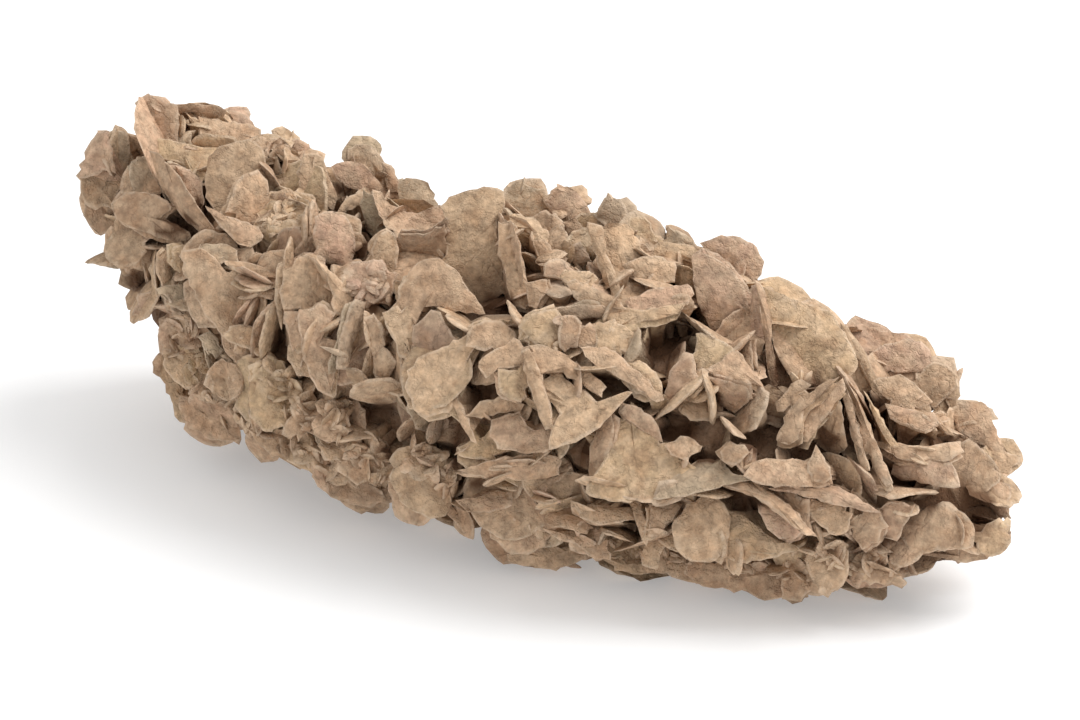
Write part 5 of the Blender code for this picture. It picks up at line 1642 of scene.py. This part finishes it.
# --- All the blades -----------------------------------------------------------------------------------
# An item is a blade with its roughness and tone, and a listed face has its outline as well.
def crumbs(blade, tone, generator):
    """Tiny blades at all angles on the face of a rough one."""
    centre, normal, long_axis, outward, half_length = blade
    wide_axis = np.cross(normal, long_axis)
    facing = normal if np.dot(normal, outward) > 0 else -normal
    count = int(math.pi * BLADE_ROUNDNESS * half_length ** 2 / CRUMB_AREA)
    found = []
    for _ in range(count):
        away = math.sqrt(generator.random()) * CRUMB_REACH * half_length
        turn = generator.uniform(0, 2 * math.pi)
        place = centre + away * (math.cos(turn) * long_axis + BLADE_ROUNDNESS * math.sin(turn) * wide_axis)
        bulge = lens_thickness(half_length) / 2 * (1.0 - (away / half_length) ** 2)
        place = place + facing * bulge
        radius = generator.uniform(*CRUMB_RADIUS)
        tilt = math.radians(generator.uniform(*CRUMB_TILT))
        crumb = leaning_blade(place, facing, radius, tilt, generator.uniform(0, 2 * math.pi), 0.0)
        if form_level(crumb[0]) < 1.0 and all(
                lowest_level(*window_place(point), SIGHT_SKIP) < CRUMB_LEVEL
                for point in rim_outline(crumb)[::CRUMB_POINTS_SKIPPED]):
            found.append((crumb, CRUMB_GRIT, tone))
    return found


def twin(blade, generator):
    """A parallel blade close behind another, as gypsum often grows."""
    centre, normal, long_axis, outward, half_length = blade
    side = -1.0 if np.dot(normal, outward) > 0 else 1.0
    gap = generator.uniform(*TWIN_GAP) + lens_thickness(half_length) * 0.5
    turn = generator.uniform(0, 2 * math.pi)
    wide_axis = np.cross(normal, long_axis)
    slide = TWIN_SLIDE * half_length * (math.cos(turn) * long_axis + math.sin(turn) * wide_axis)
    across_tip, along_tip = TWIN_TIP
    tip = unit(normal + across_tip * math.cos(turn) * wide_axis + along_tip * math.sin(turn) * long_axis)
    long_axis = unit(long_axis - tip * np.dot(long_axis, tip))
    place = centre + side * normal * gap + slide - outward * TWIN_SINK
    return place, tip, long_axis, outward, half_length * generator.uniform(*TWIN_SIZE)


def fin(blade, outline, generator):
    """A small blade standing on a listed face near one of its corners."""
    centre, normal, long_axis, toward, half_length = blade
    corner = outline[generator.randrange(len(outline))] * generator.uniform(*FIN_PLACE) * half_length
    place = centre + corner[0] * long_axis + corner[1] * np.cross(normal, long_axis)
    facing = normal if np.dot(normal, toward) > 0 else -normal
    radius = half_length * generator.uniform(*FIN_RADIUS)
    tilt = math.radians(generator.uniform(*FIN_TILT))
    return leaning_blade(place, facing, radius, tilt, generator.uniform(0, 2 * math.pi), radius * FIN_SINK)


def facet_twin(blade, generator):
    """A second plate close behind a listed face."""
    centre, normal, long_axis, toward, half_length = blade
    turn = generator.uniform(0.0, 2 * math.pi)
    slide = math.cos(turn) * long_axis + math.sin(turn) * np.cross(normal, long_axis)
    place = centre + FACET_TWIN_SLIDE * slide - normal * generator.uniform(*FACET_TWIN_GAP)
    return place, normal, long_axis, toward, half_length


def face_items(generator):
    """The listed faces, with crumbs, fins and twins on and behind them."""
    found = []
    for row in FACETS:
        tone, rough = row[:2]
        blade, outline = facet_blade(row)
        found.append((blade, rough, tone, outline))
        if rough >= CRUMB_ROUGHNESS:
            found += crumbs(blade, tone, generator)
        elif rough >= FIN_ROUGHNESS and blade[4] > FIN_SMALLEST:
            found.append((fin(blade, outline, generator), FIN_GRIT, tone))
        if rough < CRUMB_ROUGHNESS and generator.random() < FACET_TWIN_SHARE:
            second = facet_twin(blade, generator)
            if all(is_covered(point) for point in rim_outline(second)):
                found.append((second, rough, tone, outline))
    return found


def spray_blades(generator):
    """Thin blades seen edge on, in small fans."""
    blades = []
    for across, down, reach, first, last, count in SPRAYS:
        surface = touch_point(across, down)
        toward = unit(SHOW_POINT - surface)
        half_length = 0.5 * reach * SHOW_DISTANCE / WINDOW_DEPTH
        for index in range(count):
            even_turn = first + (last - first) * index / (count - 1)
            turn = math.radians(even_turn + generator.uniform(-SPRAY_TURN, SPRAY_TURN))
            along = math.cos(turn) * RIGHT + math.sin(turn) * UP
            beside = -math.sin(turn) * RIGHT + math.cos(turn) * UP
            normal = unit(beside + toward * generator.uniform(*SPRAY_LEAN) * generator.choice((-1.0, 1.0)))
            long_axis = unit(along - normal * np.dot(along, normal))
            set_back = half_length * SPRAY_SINK + SPRAY_SET_BACK
            centre = surface + along * half_length * SPRAY_OUT - toward * set_back
            size = half_length * generator.uniform(*SPRAY_SIZE)
            blades.append((centre, normal, long_axis, toward, size))
    return blades


def plate_items(generator):
    """The blades of SHOW_BLADES that leave the gaps and the listed faces in sight."""
    found = []
    for row in SHOW_BLADES:
        blade = moved_back(show_blade(row))
        if blade is None or in_deep_gap(row):
            continue
        rough, tone = row[6:]
        found.append((blade, rough, tone))
        if rough >= CRUMB_ROUGHNESS:
            found += crumbs(blade, tone, generator)
    return found


def grown_items(generator):
    """The resting and the grown blades, some with a twin or crumbs."""
    found = []
    for blade in resting_blades() + grown_blades(random.Random(GROWTH_SEED)):
        rough = generator.choice(GROWN_GRITS)
        tone = generator.choice(FILLER_TONES)
        found.append((blade, rough, tone))
        if generator.random() < TWIN_SHARE:
            found.append((twin(blade, generator), rough, tone))
        if rough >= CRUMB_ROUGHNESS:
            found += crumbs(blade, tone, generator)
    return found


def all_items():
    """Every blade in a fixed order, since the random draws follow it."""
    generator = random.Random(LOOK_SEED + 2)
    listed = face_items(generator)
    listed += [(blade, SPRAY_GRIT, generator.choice(SPRAY_TONES)) for blade in spray_blades(generator)]
    others = plate_items(generator) + grown_items(generator)
    for blade in filler_blades() + undergrowth_blades():
        others.append((blade, generator.uniform(*FILLER_GRIT), generator.choice(FILLER_TONES)))
    return listed + [
        item for item in others if count_hiding(rim_outline(item[0])) <= OTHER_POINTS_HIDING
    ]


# --- Core and cutters ---------------------------------------------------------------------------------
def core_ring(x):
    """One ring of the core and its middle."""
    angles = 2 * math.pi * np.arange(CORE_SPOKES) / CORE_SPOKES
    cos_a, sin_a = np.cos(angles), np.sin(angles)
    middle_y, half_width, middle_z, half_height = form_at(x)
    half_width = max(half_width - CORE_INSET, CORE_SMALLEST[0])
    half_height = max(half_height - CORE_INSET, CORE_SMALLEST[1])
    y = middle_y + half_width * np.copysign(np.abs(cos_a) ** FORM_POWER, cos_a)
    z = middle_z + half_height * np.copysign(np.abs(sin_a) ** FORM_POWER, sin_a)
    ring = np.stack((np.full(CORE_SPOKES, x), y, z), axis=1)
    middle = np.array((x, middle_y, middle_z))
    swell = 1.0
    for share, size, seed in CORE_WAVES:
        swell = swell + share * smooth_noise(ring, size, seed)
    return middle + (ring - middle) * swell[:, None], middle


def core_faces(count):
    """Faces of a closed tube of so many rings."""
    around = np.arange(CORE_SPOKES)
    beside = (around + 1) % CORE_SPOKES
    faces = []
    for ring in range(count - 1):
        base, following = ring * CORE_SPOKES, (ring + 1) * CORE_SPOKES
        corners = (base + around, base + beside, following + beside, following + around)
        faces += np.stack(corners, axis=1)[:, ::-1].tolist()
    final = (count - 1) * CORE_SPOKES
    first_middle = count * CORE_SPOKES
    faces += [(int(i), int(j), first_middle) for i, j in zip(around, beside)]
    faces += [(int(final + j), int(final + i), first_middle + 1) for i, j in zip(around, beside)]
    return faces


def core_mesh(name, start, end):
    """The sandy heart between two places along X, rough and pitted."""
    first, last = CORE_START + CORE_SETBACK, CORE_END - CORE_SETBACK
    start, end = max(start, first), min(end, last)
    count = max(int(round((end - start) / (last - first) * CORE_STEPS)), CORE_FEWEST_STEPS)
    rings, middles = zip(*(core_ring(x) for x in np.linspace(start, end, count)))
    points = np.concatenate((*rings, middles[0][None], middles[-1][None]))
    mesh = bpy.data.meshes.new(name)
    mesh.from_pydata(points.tolist(), [], core_faces(count))
    set_plain_looks(mesh, "d")
    return bpy.data.objects.new(name, mesh)


def cutter(name, points, faces, tone):
    mesh = bpy.data.meshes.new(name)
    mesh.from_pydata(points, [], faces)
    set_plain_looks(mesh, tone)
    item = bpy.data.objects.new(name, mesh)
    bpy.context.scene.collection.objects.link(item)
    return item


def block_under_floor():
    corners = [
        np.where(corner, UNDER_FLOOR_HIGH, UNDER_FLOOR_LOW).tolist() for corner in CUBE_CORNERS
    ]
    faces = [(0, 2, 3, 1), (4, 5, 7, 6), (0, 1, 5, 4), (2, 6, 7, 3), (0, 4, 6, 2), (1, 3, 7, 5)]
    return cutter("under_floor", corners, faces, "n")


def see_through_block():
    """A narrow block along the lines of sight, where the floor shows between two blades."""
    corners = corner_pairs(SEE_THROUGH_CORNERS)
    lines = sight_directions(corners)
    reaches = (SHOW_DISTANCE - OPENING_REACH, SHOW_DISTANCE + OPENING_REACH)
    near, far = (SHOW_POINT + lines * reach for reach in reaches)
    count = len(corners)
    faces = [tuple(range(count)), tuple(range(2 * count - 1, count - 1, -1))]
    for index in range(count):
        beside = (index + 1) % count
        faces.append((beside, index, count + index, count + beside))
    return cutter("see_through", np.concatenate((near, far)).tolist(), faces, "d")


# --- Growing everything together ----------------------------------------------------------------------
def add_boolean(item, operation, operand):
    """A Boolean with another object, or with all of a collection."""
    modifier = item.modifiers.new(operation.lower(), "BOOLEAN")
    modifier.operation = operation
    modifier.solver = "MANIFOLD"
    if isinstance(operand, bpy.types.Collection):
        modifier.operand_type = "COLLECTION"
        modifier.collection = operand
    else:
        modifier.object = operand


def evaluated_mesh(item):
    graph = bpy.context.evaluated_depsgraph_get()
    return bpy.data.meshes.new_from_object(item.evaluated_get(graph))


def grow_together(core, blades, cutters, name):
    """Union of a core piece and its blades, with the cutters taken away, as one new mesh."""
    helpers = bpy.data.collections.new(f"{name}_blades")
    bpy.context.scene.collection.children.link(helpers)
    for item in blades:
        helpers.objects.link(item)
    bpy.context.scene.collection.objects.link(core)
    add_boolean(core, "UNION", helpers)
    for item in cutters:
        add_boolean(core, "DIFFERENCE", item)
    mesh = evaluated_mesh(core)
    for item in blades + [core]:
        bpy.data.objects.remove(item, do_unlink=True)
    bpy.data.collections.remove(helpers)
    return mesh


def count_triangles(mesh):
    return len(mesh.loops) - 2 * len(mesh.polygons)


def thin_out(mesh, name):
    """Fewer triangles where the surface is plain, so that the piece stays under its limit."""
    whole = bpy.data.objects.new(f"{name}_whole", mesh)
    bpy.context.scene.collection.objects.link(whole)
    thin = whole.modifiers.new("thin_out", "DECIMATE")
    thin.ratio = min(PIECE_TRIANGLES / count_triangles(mesh), 1.0)
    thinned = evaluated_mesh(whole)
    bpy.data.objects.remove(whole, do_unlink=True)
    thinned.name = name
    return thinned


def finish_piece(mesh, name, material):
    """The surface of a piece, and its place in the frame."""
    roughen(mesh)
    mark_edges(mesh)
    paint_recess_shade(mesh)
    mesh.shade_smooth()
    mesh.set_sharp_from_angle(angle=math.radians(SHARP_ANGLE))
    mesh.materials.clear()
    mesh.materials.append(material)
    piece = bpy.data.objects.new(name, mesh)
    piece.location = (*FOOTPRINT_SHIFT, 0.0)
    bpy.context.scene.collection.objects.link(piece)
    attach(piece, "root")
    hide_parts("sand_rose")


def build():
    """One piece for each region, each with the blades whose centres lie in it."""
    material = sand_material()
    block = block_under_floor()
    opening = see_through_block()
    items = all_items()
    start = -math.inf
    for name, end in REGIONS:
        blades = [
            lens_mesh(f"{name}_{index}", blade, index, *looks)
            for index, (blade, *looks) in enumerate(items) if start < blade[0][0] <= end
        ]
        core = core_mesh(f"{name}_core", start - REGION_OVERLAP, end + REGION_OVERLAP)
        cutters = [block, opening] if name in SEE_THROUGH_REGIONS else [block]
        mesh = grow_together(core, blades, cutters, name)
        finish_piece(thin_out(mesh, name), name, material)
        start = end
    bpy.data.objects.remove(block, do_unlink=True)
    bpy.data.objects.remove(opening, do_unlink=True)


# --- Nodes of the material ----------------------------------------------------------------------------
def attribute(tree, name, output):
    node = tree.nodes.new("ShaderNodeAttribute")
    node.attribute_name = name
    return node.outputs[output]


def noise(tree, size, detail, roughness):
    node = tree.nodes.new("ShaderNodeTexNoise")
    node.inputs["Scale"].default_value = 1.0 / size
    node.inputs["Detail"].default_value = detail
    node.inputs["Roughness"].default_value = roughness
    tree.links.new(tree.nodes["place"].outputs["Object"], node.inputs["Vector"])
    return node.outputs["Fac"]


def feed(tree, socket, source):
    """A number or colour set on a socket, or an output linked to it."""
    if isinstance(source, float):
        socket.default_value = source
    elif isinstance(source, tuple):
        socket.default_value = (*source, 1.0)
    else:
        tree.links.new(source, socket)


def ramp(tree, value, low, high, low_out=0.0, high_out=1.0):
    node = tree.nodes.new("ShaderNodeMapRange")
    sockets = ("Value", "From Min", "From Max", "To Min", "To Max")
    for name, source in zip(sockets, (value, low, high, low_out, high_out)):
        feed(tree, node.inputs[name], source)
    return node.outputs["Result"]


def mix(tree, kind, factor, first, second):
    node = tree.nodes.new("ShaderNodeMix")
    node.data_type = "RGBA"
    node.blend_type = kind
    sockets = (socket for socket in node.inputs if socket.enabled)
    for socket, source in zip(sockets, (factor, first, second)):
        feed(tree, socket, source)
    return next(socket for socket in node.outputs if socket.enabled)


def math_node(tree, operation, first, second=0.0):
    node = tree.nodes.new("ShaderNodeMath")
    node.operation = operation
    for socket, source in zip(node.inputs, (first, second)):
        feed(tree, socket, source)
    return node.outputs[0]


def lay_over(tree, colour, share, strength, layer):
    """A colour with another one laid over it, as far as a share and a strength say."""
    return mix(tree, "MIX", math_node(tree, "MULTIPLY", share, strength), colour, layer)


def sand_colour(tree):
    """The blade's tone under dust and stain, paler on worn edges, with painted shade in creases and deep
    inside.
    """
    colour = attribute(tree, "tint", "Color")
    for patch_noise, patch_range, strength, layer in PATCHES:
        share = ramp(tree, noise(tree, *patch_noise), *patch_range)
        colour = lay_over(tree, colour, share, strength, layer)
    for shade_noise, shade_range in SHADES:
        shade = ramp(tree, noise(tree, *shade_noise), *shade_range)
        colour = mix(tree, "MULTIPLY", 1.0, colour, shade)
    ridge = attribute(tree, "ridge", "Fac")
    near_rim = ramp(tree, attribute(tree, "reach", "Fac"), *WORN_RIM)
    worn = math_node(tree, "MAXIMUM", ramp(tree, ridge, *WORN_RIDGE), near_rim)
    patches = ramp(tree, noise(tree, *WORN_NOISE), *WORN_PATCHES)
    worn = math_node(tree, "MULTIPLY", worn, patches)
    colour = lay_over(tree, colour, worn, WORN_STRENGTH, WORN_COLOUR)
    # Painted shade in creases, where the ridge value is below 0.
    colour = lay_over(tree, colour, ramp(tree, ridge, *PAINTED_CREASE_SHADE_RIDGE), PAINTED_CREASE_SHADE_STRENGTH, PAINTED_CREASE_SHADE_COLOUR)
    # Painted shade deep between the blades and in the deep gaps, where the inside value is high.
    inside = attribute(tree, "inside", "Fac")
    return lay_over(tree, colour, inside, PAINTED_RECESS_SHADE_STRENGTH, PAINTED_RECESS_SHADE_COLOUR)


def sand_height(tree):
    """Height for the bump: sand grains, fine cracks and faint rings along the rims."""
    turns = math_node(tree, "MULTIPLY", attribute(tree, "reach", "Fac"), RING_TURNS)
    wander = math_node(tree, "MULTIPLY", noise(tree, *RING_NOISE), RING_WANDER)
    rings = math_node(tree, "SINE", math_node(tree, "ADD", turns, wander))
    fine, coarse = (
        math_node(tree, "MULTIPLY", noise(tree, *bump_noise), height)
        for bump_noise, height in (FINE_BUMP, COARSE_BUMP)
    )
    from_middle = math_node(tree, "SUBTRACT", noise(tree, *CRACK_NOISE), 0.5)
    cracks = ramp(tree, math_node(tree, "ABSOLUTE", from_middle), 0.0, CRACK_WIDTH)
    height = math_node(tree, "ADD", fine, coarse)
    height = math_node(tree, "ADD", height, math_node(tree, "MULTIPLY", cracks, CRACK_HEIGHT))
    return math_node(tree, "ADD", height, math_node(tree, "MULTIPLY", rings, RING_HEIGHT))


def sand_material():
    material = bpy.data.materials.new("sandy_gypsum")
    material.use_nodes = True
    tree = material.node_tree
    shader = tree.nodes["Principled BSDF"]
    shader.inputs["Roughness"].default_value = SAND_ROUGHNESS
    shader.inputs["Specular IOR Level"].default_value = SAND_SPECULAR
    tree.nodes.new("ShaderNodeTexCoord").name = "place"
    tree.links.new(sand_colour(tree), shader.inputs["Base Color"])
    bump = tree.nodes.new("ShaderNodeBump")
    bump.inputs["Strength"].default_value = BUMP_STRENGTH
    bump.inputs["Distance"].default_value = 1.0
    tree.links.new(sand_height(tree), bump.inputs["Height"])
    tree.links.new(bump.outputs["Normal"], shader.inputs["Normal"])
    return material


# --- Floor, light and camera --------------------------------------------------------------------------
def white_floor():
    """White paper lit a little from below, which keeps the shadow on it light."""
    material = bpy.data.materials.new("white_floor")
    material.use_nodes = True
    shader = material.node_tree.nodes["Principled BSDF"]
    shader.inputs["Base Color"].default_value = FLOOR_COLOUR
    shader.inputs["Roughness"].default_value = FLOOR_ROUGHNESS
    shader.inputs["Specular IOR Level"].default_value = FLOOR_SPECULAR
    shader.inputs["Emission Color"].default_value = WHITE
    shader.inputs["Emission Strength"].default_value = FLOOR_GLOW
    return material


def floor():
    mesh = bpy.data.meshes.new("floor")
    turns = ((-1, -1), (1, -1), (1, 1), (-1, 1))
    corners = [(FLOOR_REACH * x, FLOOR_REACH * y, 0) for x, y in turns]
    mesh.from_pydata(corners, [], [(0, 1, 2, 3)])
    mesh.materials.append(white_floor())
    item = bpy.data.objects.new("floor", mesh)
    item.location.z = -FLOOR_DROP
    bpy.context.scene.collection.objects.link(item)


def key_light():
    """A large soft box high at the right, a little behind."""
    light = bpy.data.lights.new("key_light", "AREA")
    light.shape = "SQUARE"
    light.size = KEY_SIZE
    light.energy = KEY_POWER
    item = bpy.data.objects.new("key_light", light)
    item.location = KEY_PLACE
    back = unit(KEY_PLACE - KEY_AIM)
    right = unit(np.cross(Z_AXIS, back))
    aim = Matrix((right, np.cross(back, right), back)).transposed()
    item.rotation_euler = aim.to_euler()
    bpy.context.scene.collection.objects.link(item)


def sky():
    """White light from all around."""
    world = bpy.data.worlds.new("studio")
    world.use_nodes = True
    background = world.node_tree.nodes["Background"]
    background.inputs["Color"].default_value = WHITE
    background.inputs["Strength"].default_value = WORLD_STRENGTH
    bpy.context.scene.world = world


def camera():
    """The camera of the photograph, which looks along the show window."""
    lens = bpy.data.cameras.new("camera")
    lens.sensor_width = SENSOR_WIDTH
    lens.lens = WINDOW_DEPTH / WINDOW_WIDTH * lens.sensor_width
    lens.clip_start = CLIP_START
    item = bpy.data.objects.new("camera", lens)
    aim = Matrix((RIGHT, UP, BACK)).transposed()
    item.matrix_world = Matrix.Translation(SHOW_POINT + np.array((*FOOTPRINT_SHIFT, 0.0))) @ aim.to_4x4()
    bpy.context.scene.collection.objects.link(item)
    bpy.context.scene.camera = item


bpy.context.scene.view_settings.view_transform = "Standard"
build()
floor()
sky()
key_light()
camera()
